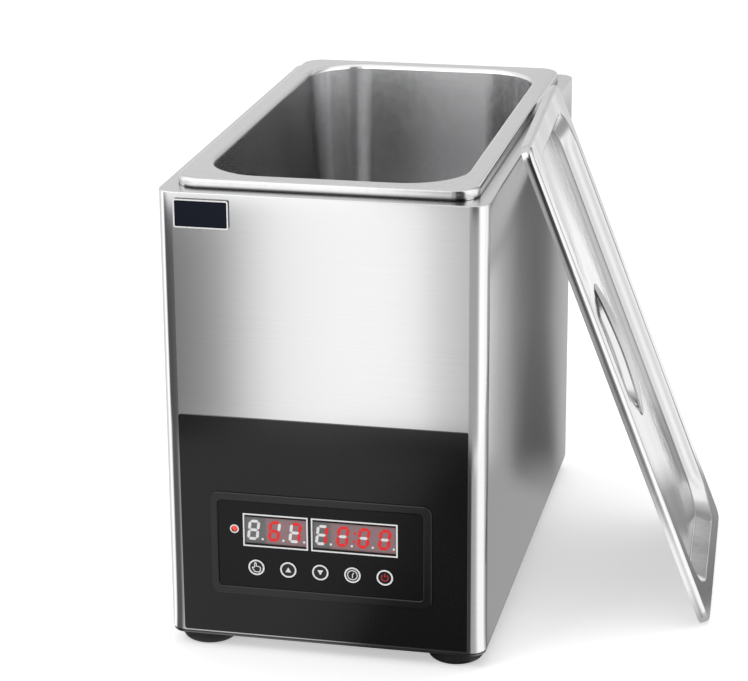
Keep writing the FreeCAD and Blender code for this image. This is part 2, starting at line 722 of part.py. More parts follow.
def rear_circles(sketch, diameter):
    """A circle at each rear screw."""
    for x, z in rear_screws:
        circle(sketch, x, z, diameter)


def draw_well_mouth(sketch):
    """The outline of the well's inside."""
    centred(sketch, well_width, well_length, well_corner)


def make_top_deck():
    """The deck, with the pan opening, a turned-down skirt and a rounded edge."""
    body = new_body("top_deck")

    def draw_deck(sketch):
        centred(sketch, body_width, body_depth, dim.corner_bend)
        draw_well_mouth(sketch)

    slab(body, "XY", deck_under, deck_top, draw_deck)
    slab(body, "XY", deck_under - dim.deck_skirt, deck_under, casing_ring(nest, dim.deck_sheet))
    dress(body, "Fillet", lies_at("XY", deck_top, beyond=pan_half), dim.deck_edge_radius)


def make_base_tray():
    """The tray that closes the bottom, with an upturned edge inside the wrap and air slots."""
    body = new_body("base_tray")
    slab(body, "XY", tray_under, tray_top,
         lambda sketch: centred(sketch, body_width - 2 * dim.tray_inset,
                                body_depth - 2 * dim.tray_inset,
                                dim.corner_bend - dim.tray_inset))
    slab(body, "XY", tray_top, tray_top + dim.tray_flange, casing_ring(nest, dim.tray_sheet))

    def draw_holes(sketch):
        for x, y in foot_places:
            circle(sketch, x, y, dim.foot_screw_diameter + dim.screw_hole_gap)
        for x, y in power_holes:
            circle(sketch, x, y, dim.stud_diameter)
        for row in range(TRAY_VENTS):
            slot(sketch, 0, -half_depth / 2 - row * dim.vent_pitch)

    cut(body, "XY", tray_under - CLEAR, tray_top + CLEAR, draw_holes)


def make_feet():
    """Four rubber feet, with the screw and nut that hold each of them."""
    feet = new_body("rubber_feet")

    def at_feet(diameter):
        def draw(sketch):
            for x, y in foot_places:
                circle(sketch, x, y, diameter)
        return draw

    hole = dim.foot_screw_diameter + dim.screw_hole_gap
    slab(feet, "XY", 0, tray_under, at_feet(dim.foot_diameter))
    dress(feet, "Fillet", lies_at("XY", 0), dim.foot_round)
    cut(feet, "XY", 0, dim.foot_recess_depth, at_feet(dim.foot_recess_diameter))
    cut(feet, "XY", 0, tray_under, at_feet(hole))

    screws = new_body("foot_screws")
    head_low = dim.foot_recess_depth - dim.foot_screw_head_height
    slab(screws, "XY", head_low, dim.foot_recess_depth, at_feet(dim.foot_screw_head))
    slab(screws, "XY", dim.foot_recess_depth, tray_top + dim.foot_nut_height + CLEAR,
         at_feet(dim.foot_screw_diameter))

    nuts = new_body("foot_nuts")

    def draw_nuts(sketch):
        for x, y in foot_places:
            hexagon(sketch, x, y, dim.foot_nut_across)
            circle(sketch, x, y, dim.foot_screw_diameter)

    slab(nuts, "XY", tray_top, tray_top + dim.foot_nut_height, draw_nuts)


def make_rear_cover():
    """The flat rear cover with a column of air slots and the gland hole, and its screws."""
    cover = new_body("rear_cover")
    slab(cover, "XZ", back, cover_back,
         lambda sketch: rectangle(sketch, -cover_side, cover_side, cover_low, cover_high,
                                  dim.cover_corner))

    def draw_holes(sketch):
        rear_circles(sketch, dim.rear_screw_diameter + dim.screw_hole_gap)
        circle(sketch, dim.gland_x, gland_z, dim.gland_thread + dim.screw_hole_gap)
        for row in range(VENT_ROWS):
            slot(sketch, -dim.vent_offset, wrap_bottom + dim.vent_height + row * dim.vent_pitch)

    cut(cover, "XZ", back - CLEAR, cover_back + CLEAR, draw_holes)

    screws = new_body("rear_screws")
    head_back = cover_back + dim.rear_screw_head_height
    slab(screws, "XZ", cover_back, head_back,
         lambda sketch: rear_circles(sketch, dim.rear_screw_head))
    dress(screws, "Fillet", lies_at("XZ", head_back), dim.rear_screw_head_height / 2)
    slab(screws, "XZ", back - dim.shell_sheet - dim.rear_screw_reach, cover_back,
         lambda sketch: rear_circles(sketch, dim.rear_screw_diameter))


def make_cable_gland():
    """The gland for the mains cord, with a hexagon, a dome nut and a lock nut inside."""
    gland = new_body("cable_gland")

    def round_part(diameter):
        return lambda sketch: circle(sketch, dim.gland_x, gland_z, diameter)

    hex_back = cover_back + dim.gland_hex
    dome_back = hex_back + dim.gland_dome
    slab(gland, "XZ", cover_back, hex_back,
         lambda sketch: hexagon(sketch, dim.gland_x, gland_z, dim.gland_across))
    slab(gland, "XZ", hex_back, dome_back, round_part(dim.gland_dome_diameter))
    dress(gland, "Fillet", lies_at("XZ", dome_back), dim.gland_dome_round)
    slab(gland, "XZ", cover_back - dim.gland_stem, cover_back, round_part(dim.gland_thread))
    cut(gland, "XZ", cover_back - dim.gland_stem - CLEAR, dome_back + CLEAR,
        round_part(dim.gland_bore))

    nut = new_body("gland_nut")

    def draw_nut(sketch):
        hexagon(sketch, dim.gland_x, gland_z, dim.gland_nut_across)
        circle(sketch, dim.gland_x, gland_z, dim.gland_thread)

    slab(nut, "XZ", back - dim.gland_nut_height, back, draw_nut)


def make_badge():
    """A bare plate with a raised border, and the dark inlay that lies in it."""
    left = -half_width + dim.corner_bend + dim.badge_left
    right = left + dim.badge_width
    high = deck_top - dim.badge_top
    low = high - dim.badge_height
    border = dim.badge_border

    def draw_inner(sketch):
        rectangle(sketch, left + border, right - border, low + border, high - border,
                  dim.badge_corner - border / 2)

    plate = new_body("badge_plate")
    slab(plate, "XZ", front - dim.badge_thickness, front,
         lambda sketch: rectangle(sketch, left, right, low, high, dim.badge_corner))
    recess = front - dim.badge_thickness + dim.badge_inlay + dim.rest_gap
    cut(plate, "XZ", front - dim.badge_thickness, recess, draw_inner)
    inlay = new_body("badge_inlay")
    slab(inlay, "XZ", recess - dim.badge_inlay, recess, draw_inner)


# ---------------------------------------------------------------------------------------------
# Well, pan and what heats them
# ---------------------------------------------------------------------------------------------

def make_inner_well():
    """The drawn tank under the deck, open at the top, with holes for the element and the probe."""
    body = new_body("inner_well")
    sheet = dim.well_sheet
    slab(body, "XY", well_under, deck_under,
         lambda sketch: centred(sketch, well_width + 2 * sheet, well_length + 2 * sheet,
                                well_corner + sheet))
    flange = sheet + dim.well_flange
    slab(body, "XY", deck_under - sheet, deck_under,
         lambda sketch: centred(sketch, well_width + 2 * flange, well_length + 2 * flange,
                                well_corner + flange))
    cut(body, "XY", well_floor, deck_under, draw_well_mouth)
    dress(body, "Fillet", lies_at("XY", well_floor), dim.well_floor_round - sheet)
    dress(body, "Fillet", lies_at("XY", well_under), dim.well_floor_round)

    def draw_holes(sketch):
        for side in (-1, 1):
            circle(sketch, side * leg_x, leg_y, dim.element_bush + dim.screw_hole_gap)
        circle(sketch, 0, probe_y, dim.probe_bush + dim.screw_hole_gap)

    cut(body, "XY", well_under - CLEAR, well_floor + CLEAR, draw_holes)


def make_jacket():
    """Mineral wool round the four sides of the well."""
    body = new_body("well_insulation")
    inner = dim.well_sheet + dim.jacket_gap
    outer = inner + dim.jacket_thickness

    def draw(sketch):
        for step in (inner, outer):
            centred(sketch, well_width + 2 * step, well_length + 2 * step, well_corner + step)

    slab(body, "XY", well_floor, deck_under - dim.well_sheet - dim.jacket_gap, draw)


def tub_outline(level, offset):
    """Draws the pan's tapered wall at a depth below its rim, offset outwards."""
    lean = dim.pan_taper * as_size(level) / dim.pan_depth
    step = as_size(offset) - lean

    def draw(sketch):
        centred(sketch, mouth_width + 2 * step, mouth_length + 2 * step,
                dim.pan_mouth_corner + step)

    return draw


def make_pan():
    """The lift-out pan: flanged rim with a turned-down lip, tapered walls and a rounded floor."""
    body = new_body("gn_pan")
    sheet = dim.pan_sheet
    floor = pan_under + sheet
    slab(body, "XY", pan_top - dim.pan_lip, pan_top,
         lambda sketch: centred(sketch, dim.pan_width, dim.pan_length, dim.pan_corner))

    def draw_underside(sketch):
        centred(sketch, dim.pan_width - 2 * sheet, dim.pan_length - 2 * sheet,
                dim.pan_corner - sheet)

    flange_under = pan_top - sheet
    cut(body, "XY", pan_top - dim.pan_lip, flange_under, draw_underside)
    dress(body, "Fillet", lies_at("XY", flange_under), dim.pan_rim_bend - sheet)
    dress(body, "Fillet", lies_at("XY", pan_top), dim.pan_rim_bend)
    loft(body, "AdditiveLoft", pan_under, tub_outline(dim.pan_depth, sheet),
         flange_under, tub_outline(sheet, sheet))
    loft(body, "SubtractiveLoft", floor, tub_outline(dim.pan_depth - sheet, 0),
         pan_top, tub_outline(0, 0))
    dress(body, "Fillet", lies_at("XY", floor), dim.pan_floor_round - sheet)
    dress(body, "Fillet", lies_at("XY", pan_under), dim.pan_floor_round)
    dress(body, "Fillet", lies_at("XY", flange_under, within=pan_half),
          dim.pan_mouth_bend - sheet)
    dress(body, "Fillet", lies_at("XY", pan_top, within=pan_half), dim.pan_mouth_bend)


def element_path():
    """The centre line of the heating element: up one leg, three hairpin runs, down the other."""
    level = element_level.value
    bend, rise = element_bend.value, dim.element_rise.value
    near, far = element_near.value, element_far.value
    leg, side = leg_y.value, leg_x.value
    low = (well_floor - dim.element_bush_length).value
    turn = math.sqrt(0.5)
    edges = []

    def run(start, end):
        edges.append(Part.LineSegment(Vector(*start), Vector(*end)).toShape())

    def arc(start, middle, end):
        edges.append(Part.Arc(Vector(*start), Vector(*middle), Vector(*end)).toShape())

    run((-side, leg, low), (-side, leg, level - rise))
    arc((-side, leg, level - rise),
        (-side, leg - rise + rise * turn, level - rise + rise * turn),
        (-side, leg - rise, level))
    run((-side, leg - rise, level), (-side, near, level))
    arc((-side, near, level), (-side + bend, near - bend, level), (-side + 2 * bend, near, level))
    run((-bend, near, level), (-bend, far, level))
    arc((-bend, far, level), (0, far + bend, level), (bend, far, level))
    run((bend, far, level), (bend, near, level))
    arc((bend, near, level), (2 * bend, near - bend, level), (side, near, level))
    run((side, near, level), (side, leg - rise, level))
    arc((side, leg - rise, level),
        (side, leg - rise + rise * turn, level - rise + rise * turn),
        (side, leg, level - rise))
    run((side, leg, level - rise), (side, leg, low))
    return Part.Wire(edges)


def post(diameter, low, high, x, y):
    """An upright round solid."""
    height = (as_size(high) - low).value
    base = Vector(as_size(x).value, as_size(y).value, as_size(low).value)
    return Part.makeCylinder(as_size(diameter).value / 2, height, base, Z_AXIS)


def make_element():
    """The sheathed element with its collars, bushes and terminal pins, and its seals and nuts."""
    path = element_path()
    start = path.OrderedVertexes[0].Point
    section = Part.Wire([Part.makeCircle(dim.element_tube.value / 2, start, Z_AXIS)])
    solid = path.makePipeShell([section], True, False)
    collar_low = well_floor + dim.seal_thickness
    bush_low = collar_low - dim.element_bush_length
    pin_low = bush_low - dim.element_pin_length
    for side in (-1, 1):
        place = (side * leg_x, leg_y)
        solid = solid.fuse(post(dim.element_collar, collar_low,
                                collar_low + dim.element_collar_height, *place))
        solid = solid.fuse(post(dim.element_bush, bush_low, collar_low, *place))
        solid = solid.fuse(post(dim.element_pin, pin_low, bush_low, *place))
    element = doc.addObject("Part::Feature", "heating_element")
    element.Label = "heating_element"
    element.Shape = solid.removeSplitter()
    element.Placement = Placement()
    nodes.append(element)

    seals = new_body("element_seals")

    def draw_seals(sketch):
        for side in (-1, 1):
            circle(sketch, side * leg_x, leg_y, dim.element_collar)
            circle(sketch, side * leg_x, leg_y, dim.element_bush + dim.screw_hole_gap)

    slab(seals, "XY", well_floor, collar_low, draw_seals)

    nuts = new_body("element_nuts")

    def draw_nuts(sketch):
        for side in (-1, 1):
            hexagon(sketch, side * leg_x, leg_y, dim.element_nut_across)
            circle(sketch, side * leg_x, leg_y, dim.element_bush)

    slab(nuts, "XY", well_under - dim.floor_nut_height, well_under, draw_nuts)


def make_probe():
    """The temperature probe in the well floor, and its nut."""
    probe = new_body("temperature_probe")

    def round_part(diameter):
        return lambda sketch: circle(sketch, 0, probe_y, diameter)

    tip = well_floor + dim.probe_height
    slab(probe, "XY", well_floor, tip, round_part(dim.probe_diameter))
    dress(probe, "Fillet", lies_at("XY", tip), dim.probe_tip_round)
    slab(probe, "XY", well_floor, well_floor + dim.seal_thickness, round_part(dim.probe_collar))
    slab(probe, "XY", well_floor - dim.element_bush_length, well_floor, round_part(dim.probe_bush))

    nut = new_body("probe_nut")

    def draw_nut(sketch):
        hexagon(sketch, 0, probe_y, dim.probe_nut_across)
        circle(sketch, 0, probe_y, dim.probe_bush)

    slab(nut, "XY", well_under - dim.floor_nut_height, well_under, draw_nut)


def make_cutout():
    """The overheat cut-out under the well floor, and the clamp that holds it there."""
    cutout = new_body("thermal_cutout")
    low = well_under - dim.cutout_height
    place = -dim.cutout_place
    slab(cutout, "XY", low, well_under, lambda sketch: circle(sketch, 0, place, dim.cutout_diameter))

    def draw_tabs(sketch):
        for side in (-1, 1):
            centred(sketch, dim.bracket_sheet, dim.tab_width,
                    x=side * dim.tab_spacing / 2, y=place)

    slab(cutout, "XY", low - dim.tab_length, low, draw_tabs)

    bracket = new_body("cutout_bracket")
    post_x = dim.bracket_length / 2 - dim.bracket_post_inset

    def draw_bar(sketch):
        centred(sketch, dim.bracket_length, dim.bracket_width, dim.bracket_post_inset / 2, y=place)
        circle(sketch, 0, place, dim.bracket_hole)

    def draw_posts(sketch):
        for side in (-1, 1):
            circle(sketch, side * post_x, place, dim.bracket_post)

    slab(bracket, "XY", low - dim.bracket_sheet, low, draw_bar)
    slab(bracket, "XY", low, well_under, draw_posts)


# ---------------------------------------------------------------------------------------------
# Fascia, displays and keys
# ---------------------------------------------------------------------------------------------

def make_fascia():
    """The black sheet on the lower half of the front."""
    body = new_body("fascia_panel")
    low = wrap_bottom + dim.fascia_drop
    side = half_width - dim.corner_bend
    slab(body, "XZ", fascia_face, front,
         lambda sketch: rectangle(sketch, -side, side, low, low + dim.fascia_height,
                                  dim.fascia_corner))
    cut(body, "XZ", fascia_face - CLEAR, front + CLEAR, draw_control_opening)


def bezel_inside(gap):
    """Draws the inside outline of the bezel, set in by a gap."""
    gap = as_size(gap)
    step = dim.bezel_band + gap
    width = dim.bezel_width - 2 * step
    height = dim.bezel_height - 2 * step
    return lambda sketch: centred(sketch, width, height, dim.bezel_inner_corner,
                                  dim.control_x, control_z)


def make_bezel():
    """The raised frame round the keypad film."""
    body = new_body("control_bezel")
    face = fascia_face - dim.bezel_thickness

    def draw(sketch):
        centred(sketch, dim.bezel_width, dim.bezel_height, dim.bezel_corner,
                dim.control_x, control_z)
        bezel_inside(0)(sketch)

    slab(body, "XZ", face, fascia_face, draw)
    dress(body, "Fillet", lies_at("XZ", face), dim.bezel_round)


def make_film():
    """The keypad film, with the two windows, the key holes and the lamp hole."""
    body = new_body("keypad_film")
    slab(body, "XZ", film_face, fascia_face, bezel_inside(dim.film_gap))

    def draw_holes(sketch):
        for x, width in ((temperature_x, temperature_width), (timer_x, timer_width)):
            centred(sketch, width, dim.window_height, x=x, y=window_z)
        for x in key_places:
            circle(sketch, x, key_z, dim.key_diameter + 2 * dim.key_gap)
        circle(sketch, lamp_x, window_z, dim.lamp_diameter + 2 * dim.key_gap)

    cut(body, "XZ", film_face - CLEAR, fascia_face + CLEAR, draw_holes)


def draw_pins(sketch, x, digits, diameter):
    """Two rows of pins behind a display module, two pins to a digit."""
    for row in (-1, 1):
        for index in range(2 * digits):
            place = x + (index - digits + 0.5) * dim.pin_pitch
            circle(sketch, place, window_z + row * dim.pin_rows / 2, diameter)


def make_display(name, x, digits):
    """A red digit module that stands on the control board."""
    body = new_body(name)
    slab(body, "XZ", rim_face, board_face,
         lambda sketch: centred(sketch, digits * dim.module_pitch - dim.module_gap,
                                dim.module_height, x=x, y=window_z))
    slab(body, "XZ", board_face, board_back + dim.pin_tail,
         lambda sketch: draw_pins(sketch, x, digits, dim.pin_diameter))


slant = math.tan(math.radians(dim.digit_slant.value))


def segment_bars():
    """Outlines of the seven bars of a digit about its centre, named a to g."""
    wide = dim.digit_width.value - dim.digit_stroke.value
    tall = (dim.digit_height.value - dim.digit_stroke.value) / 2
    half = dim.digit_stroke.value / 2
    mitre = dim.digit_mitre.value

    def bar(x, z, along_x):
        reach = (wide if along_x else tall) / 2 - mitre
        shape = ((-reach, 0), (-reach + half, half), (reach - half, half),
                 (reach, 0), (reach - half, -half), (-reach + half, -half))
        points = []
        for run, side in shape:
            px, pz = (x + run, z + side) if along_x else (x + side, z + run)
            points.append((px + pz * slant, pz))
        return points

    return {
        "a": bar(0, tall, True), "g": bar(0, 0, True), "d": bar(0, -tall, True),
        "f": bar(-wide / 2, tall / 2, False), "b": bar(wide / 2, tall / 2, False),
        "e": bar(-wide / 2, -tall / 2, False), "c": bar(wide / 2, -tall / 2, False),
    }


# bars that are lit, digit by digit: 67 degrees, and ten minutes to go
LIT = {"temperature": ("", "acdefg", "abc"), "timer": ("bc", "abcdef", "abcdef", "abcdef")}


def make_segments():
    """The bars and points of both displays, those that are lit apart from those that aren't."""
    face = rim_face.value
    depth = Vector(0, -dim.digit_relief.value, 0)
    pitch = dim.module_pitch.value
    level = window_z.value
    foot_of_digit = (dim.digit_stroke - dim.digit_height).value / 2
    bars = segment_bars()
    solids = {True: [], False: []}

    def stand(x, outline_points, lit):
        corners = [Vector(x + px, face, level + pz) for px, pz in outline_points]
        face_of_bar = Part.Face(Part.makePolygon(corners + corners[:1]))
        solids[lit].append(face_of_bar.extrude(depth))

    def point(x, z, lit):
        base = Vector(x, face, level + z)
        radius = dim.digit_point.value / 2
        solids[lit].append(Part.makeCylinder(radius, dim.digit_relief.value, base, -Y_AXIS))

    for name, centre in (("temperature", temperature_x.value), ("timer", timer_x.value)):
        for index, lit in enumerate(LIT[name]):
            x = centre + (index - (len(LIT[name]) - 1) / 2) * pitch - dim.digit_shift.value
            for letter, shape in bars.items():
                stand(x, shape, letter in lit)
            point(x + dim.digit_point_right.value, foot_of_digit, False)
    for z in (-dim.colon_spacing.value / 2, dim.colon_spacing.value / 2):
        point(timer_x.value + z * slant, z, True)

    for lit, label in ((True, "lit_segments"), (False, "unlit_segments")):
        group = doc.addObject("Part::Feature", label)
        group.Label = label
        group.Shape = Part.makeCompound(solids[lit])
        group.Placement = Placement()
        nodes.append(group)


def make_lamp():
    """The heating lamp: a small domed lamp on the control board."""
    body = new_body("heating_lamp")
    tip = film_face - dim.key_proud
    slab(body, "XZ", tip, board_face, lambda sketch: circle(sketch, lamp_x, window_z,
                                                            dim.lamp_diameter))
    dress(body, "Fillet", lies_at("XZ", tip), dim.lamp_round)
    slab(body, "XZ", rim_back, rim_back + dim.lamp_flange_thickness,
         lambda sketch: circle(sketch, lamp_x, window_z, dim.lamp_flange))


def make_keys():
    """Five key caps, each with a rim that holds it behind the film and a stem to its switch."""
    cap_face = film_face - dim.key_proud
    for name, x in zip(KEYS, key_places):
        body = new_body(name)

        def round_part(diameter, x=x):
            return lambda sketch: circle(sketch, x, key_z, diameter)

        slab(body, "XZ", cap_face, rim_face, round_part(dim.key_diameter))
        dress(body, "Fillet", lies_at("XZ", cap_face), dim.key_round)
        slab(body, "XZ", rim_face, rim_back, round_part(2 * key_rim_radius))
        slab(body, "XZ", rim_back, stem_back, round_part(dim.key_stem))


def make_switches():
    """Five tact switches on the control board, one behind each key."""
    body = new_body("key_switches")
    top = board_face - dim.switch_height

    def draw_bodies(sketch):
        for x in key_places:
            centred(sketch, dim.switch_side, dim.switch_side, x=x, y=key_z)

    def draw_plungers(sketch):
        for x in key_places:
            circle(sketch, x, key_z, dim.switch_plunger)

    slab(body, "XZ", top, board_face, draw_bodies)
    slab(body, "XZ", switch_tip, top, draw_plungers)


def make_control_board():
    """The control board on four studs behind the panel, with its chip, buzzer and plug socket."""
    board = new_body("control_board")
    slab(board, "XZ", board_face, board_back,
         lambda sketch: centred(sketch, dim.board_width, dim.board_height, dim.board_corner,
                                dim.control_x, control_z))

    def draw_holes(sketch):
        for x, z in stud_places:
            circle(sketch, x, z, dim.stud_diameter + dim.screw_hole_gap)
        for centre, digits in ((temperature_x, TEMPERATURE_DIGITS), (timer_x, TIMER_DIGITS)):
            draw_pins(sketch, centre, digits, dim.pin_diameter + dim.screw_hole_gap)

    cut(board, "XZ", board_face - CLEAR, board_back + CLEAR, draw_holes)

    def draw_chip(sketch):
        centred(sketch, dim.chip_length, dim.chip_width,
                x=dim.control_x - dim.board_part_pitch, y=key_z)

    def draw_buzzer(sketch):
        circle(sketch, dim.control_x + dim.board_part_pitch, key_z, dim.buzzer_diameter)

    def draw_socket(sketch):
        centred(sketch, dim.socket_width, dim.socket_depth, x=dim.control_x, y=key_z)

    slab(board, "XZ", board_back, board_back + dim.chip_height, draw_chip)
    slab(board, "XZ", board_back, board_back + dim.buzzer_height, draw_buzzer)
    slab(board, "XZ", board_back, board_back + dim.socket_height, draw_socket)

    inner_face = front + dim.shell_sheet
    spacers = new_body("board_spacers")

    def draw_spacers(sketch):
        for x, z in stud_places:
            circle(sketch, x, z, dim.spacer_diameter)
            circle(sketch, x, z, dim.stud_diameter + dim.screw_hole_gap)

    slab(spacers, "XZ", inner_face, board_face, draw_spacers)

    studs = new_body("board_studs")

    def draw_studs(sketch):
        for x, z in stud_places:
            circle(sketch, x, z, dim.stud_diameter)

    def draw_nuts(sketch):
        for x, z in stud_places:
            hexagon(sketch, x, z, dim.stud_nut_across)

    nut_back = board_back + dim.stud_nut_height
    slab(studs, "XZ", inner_face, nut_back + CLEAR, draw_studs)
    slab(studs, "XZ", board_back, nut_back, draw_nuts)


# ---------------------------------------------------------------------------------------------
# Power electronics
# ---------------------------------------------------------------------------------------------

def make_power_board():
    """The power board on spacers above the base tray, with the screws that hold it."""
    board = new_body("power_board")
    centre = dim.power_board_y
    slab(board, "XY", power_under, power_top,
         lambda sketch: centred(sketch, dim.power_board_width, dim.power_board_length,
                                dim.board_corner, y=centre))

    def at_holes(diameter):
        def draw(sketch):
            for x, y in power_holes:
                circle(sketch, x, y, diameter)
        return draw

    cut(board, "XY", power_under - CLEAR, power_top + CLEAR,
        at_holes(dim.stud_diameter + dim.screw_hole_gap))

    spacers = new_body("power_spacers")

    def draw_spacers(sketch):
        at_holes(dim.spacer_diameter)(sketch)
        at_holes(dim.stud_diameter)(sketch)

    slab(spacers, "XY", tray_top, power_under, draw_spacers)

    screws = new_body("power_screws")
    slab(screws, "XY", tray_under, power_top, at_holes(dim.stud_diameter))
    slab(screws, "XY", power_top, power_top + dim.stud_nut_height, at_holes(dim.stud_nut_across))


def make_transformer():
    """A small mains transformer: a laminated core and the coil through it."""
    body = new_body("transformer")
    x = -dim.power_board_width / 2 + dim.core_width / 2 + dim.board_hole_inset
    y = coil_line
    middle = power_top + dim.core_height / 2
    slab(body, "XY", power_top, power_top + dim.core_height,
         lambda sketch: centred(sketch, dim.core_width, dim.core_length, x=x, y=y))
    slab(body, "XY", middle - dim.coil_height / 2, middle + dim.coil_height / 2,
         lambda sketch: centred(sketch, dim.coil_width, dim.coil_length, dim.coil_corner, x, y))


def make_relay():
    """The relay that switches the element."""
    body = new_body("power_relay")
    x = dim.power_board_width / 2 - dim.relay_width
    top = power_top + dim.relay_height
    slab(body, "XY", power_top, top,
         lambda sketch: centred(sketch, dim.relay_width, dim.relay_length, x=x, y=coil_line))
    dress(body, "Chamfer", lies_at("XY", top), dim.relay_chamfer)


def make_heat_sink():
    """A finned sink behind the transformer."""
    body = new_body("heat_sink")
    y_high = dim.power_board_y + dim.power_board_length / 2 - dim.sink_inset
    y_low = y_high - dim.sink_length
    base_top = power_top + dim.sink_base
    left = -dim.sink_width / 2
    slab(body, "XY", power_top, base_top,
         lambda sketch: rectangle(sketch, left, -left, y_low, y_high))
    pitch = (dim.sink_width - dim.sink_fin) / (SINK_FINS - 1)

    def draw_fins(sketch):
        for index in range(SINK_FINS):
            x = left + index * pitch
            rectangle(sketch, x, x + dim.sink_fin, y_low, y_high)

    slab(body, "XY", base_top, power_top + dim.sink_height, draw_fins)


def make_terminals():
    """The mains terminal block on the tray near the gland, and the earth stud beside it."""
    block = new_body("terminal_block")
    ways = [(index - (TERMINAL_WAYS - 1) / 2) * dim.terminal_pitch
            for index in range(TERMINAL_WAYS)]
    top = tray_top + dim.terminal_height
    rail = tray_top + dim.terminal_base
    slab(block, "XY", tray_top, rail,
         lambda sketch: centred(sketch, TERMINAL_WAYS * dim.terminal_pitch, dim.terminal_width,
                                y=terminal_y))

    def draw_ways(sketch):
        for x in ways:
            centred(sketch, dim.way_width, dim.way_length, x=x, y=terminal_y)

    def draw_screw_holes(sketch):
        for x in ways:
            circle(sketch, x, terminal_y, dim.way_screw)

    slab(block, "XY", rail, top, draw_ways)
    cut(block, "XY", rail, top, draw_screw_holes)

    stud = new_body("earth_stud")
    x = half_width - dim.foot_inset
    nut_low = tray_top + dim.earth_nut_rise
    slab(stud, "XY", tray_top, tray_top + dim.earth_height,
         lambda sketch: circle(sketch, x, 0, dim.earth_diameter))
    slab(stud, "XY", nut_low, nut_low + dim.floor_nut_height,
         lambda sketch: hexagon(sketch, x, 0, dim.earth_nut_across))


# ---------------------------------------------------------------------------------------------
# Lid
# ---------------------------------------------------------------------------------------------

def lid_placement():
    """The lid stands on its lower end and leans on the casing's right side with its rear side."""
    lean, yaw = math.radians(dim.lid_lean.value), math.radians(dim.lid_yaw.value)
    half_length, half_lid = dim.lid_length.value / 2, dim.lid_width.value / 2
    lip, corner = dim.lid_lip.value, dim.lid_corner.value
    z = half_length * math.cos(lean) + lip * math.sin(lean)
    # how much nearer the casing the lid comes for each millimetre up it and towards its rear
    upwards, rearwards = math.cos(yaw) * math.sin(lean), math.sin(yaw)
    # it touches at the height of the deck, or with its upper rear corner if it ends below that
    reach = (deck_top.value - z + lip * math.sin(lean)) / math.cos(lean)
    straight = half_length - corner
    reach = min(reach, straight + corner * upwards / math.hypot(upwards, rearwards))
    into_corner = max(reach - straight, 0)
    side = half_lid - corner + math.sqrt(corner ** 2 - into_corner ** 2)
    x = (half_width + dim.seam_gap).value + reach * upwards + side * rearwards
    x += lip * math.cos(lean) * math.cos(yaw)
    return Placement(Vector(x, 0, z), Rotation(dim.lid_yaw.value, 90 - dim.lid_lean.value, 0))


def ellipse(sketch, length, width):
    """An ellipse about the centre, its long axis along the sketch's first axis."""
    length, width = as_size(length), as_size(width)
    shape = Part.Ellipse(Vector(0, 0, 0), length.value / 2, width.value / 2)
    ring = sketch.addGeometry(shape, False)
    sketch.exposeInternalGeometry(ring)
    sketch.addConstraint(Sketcher.Constraint("Coincident", ring, 3, -1, 1))
    sketch.addConstraint(Sketcher.Constraint("Horizontal", ring + 1))
    fix(sketch, "Distance", ring + 1, size=length)
    fix(sketch, "Distance", ring + 2, size=width)


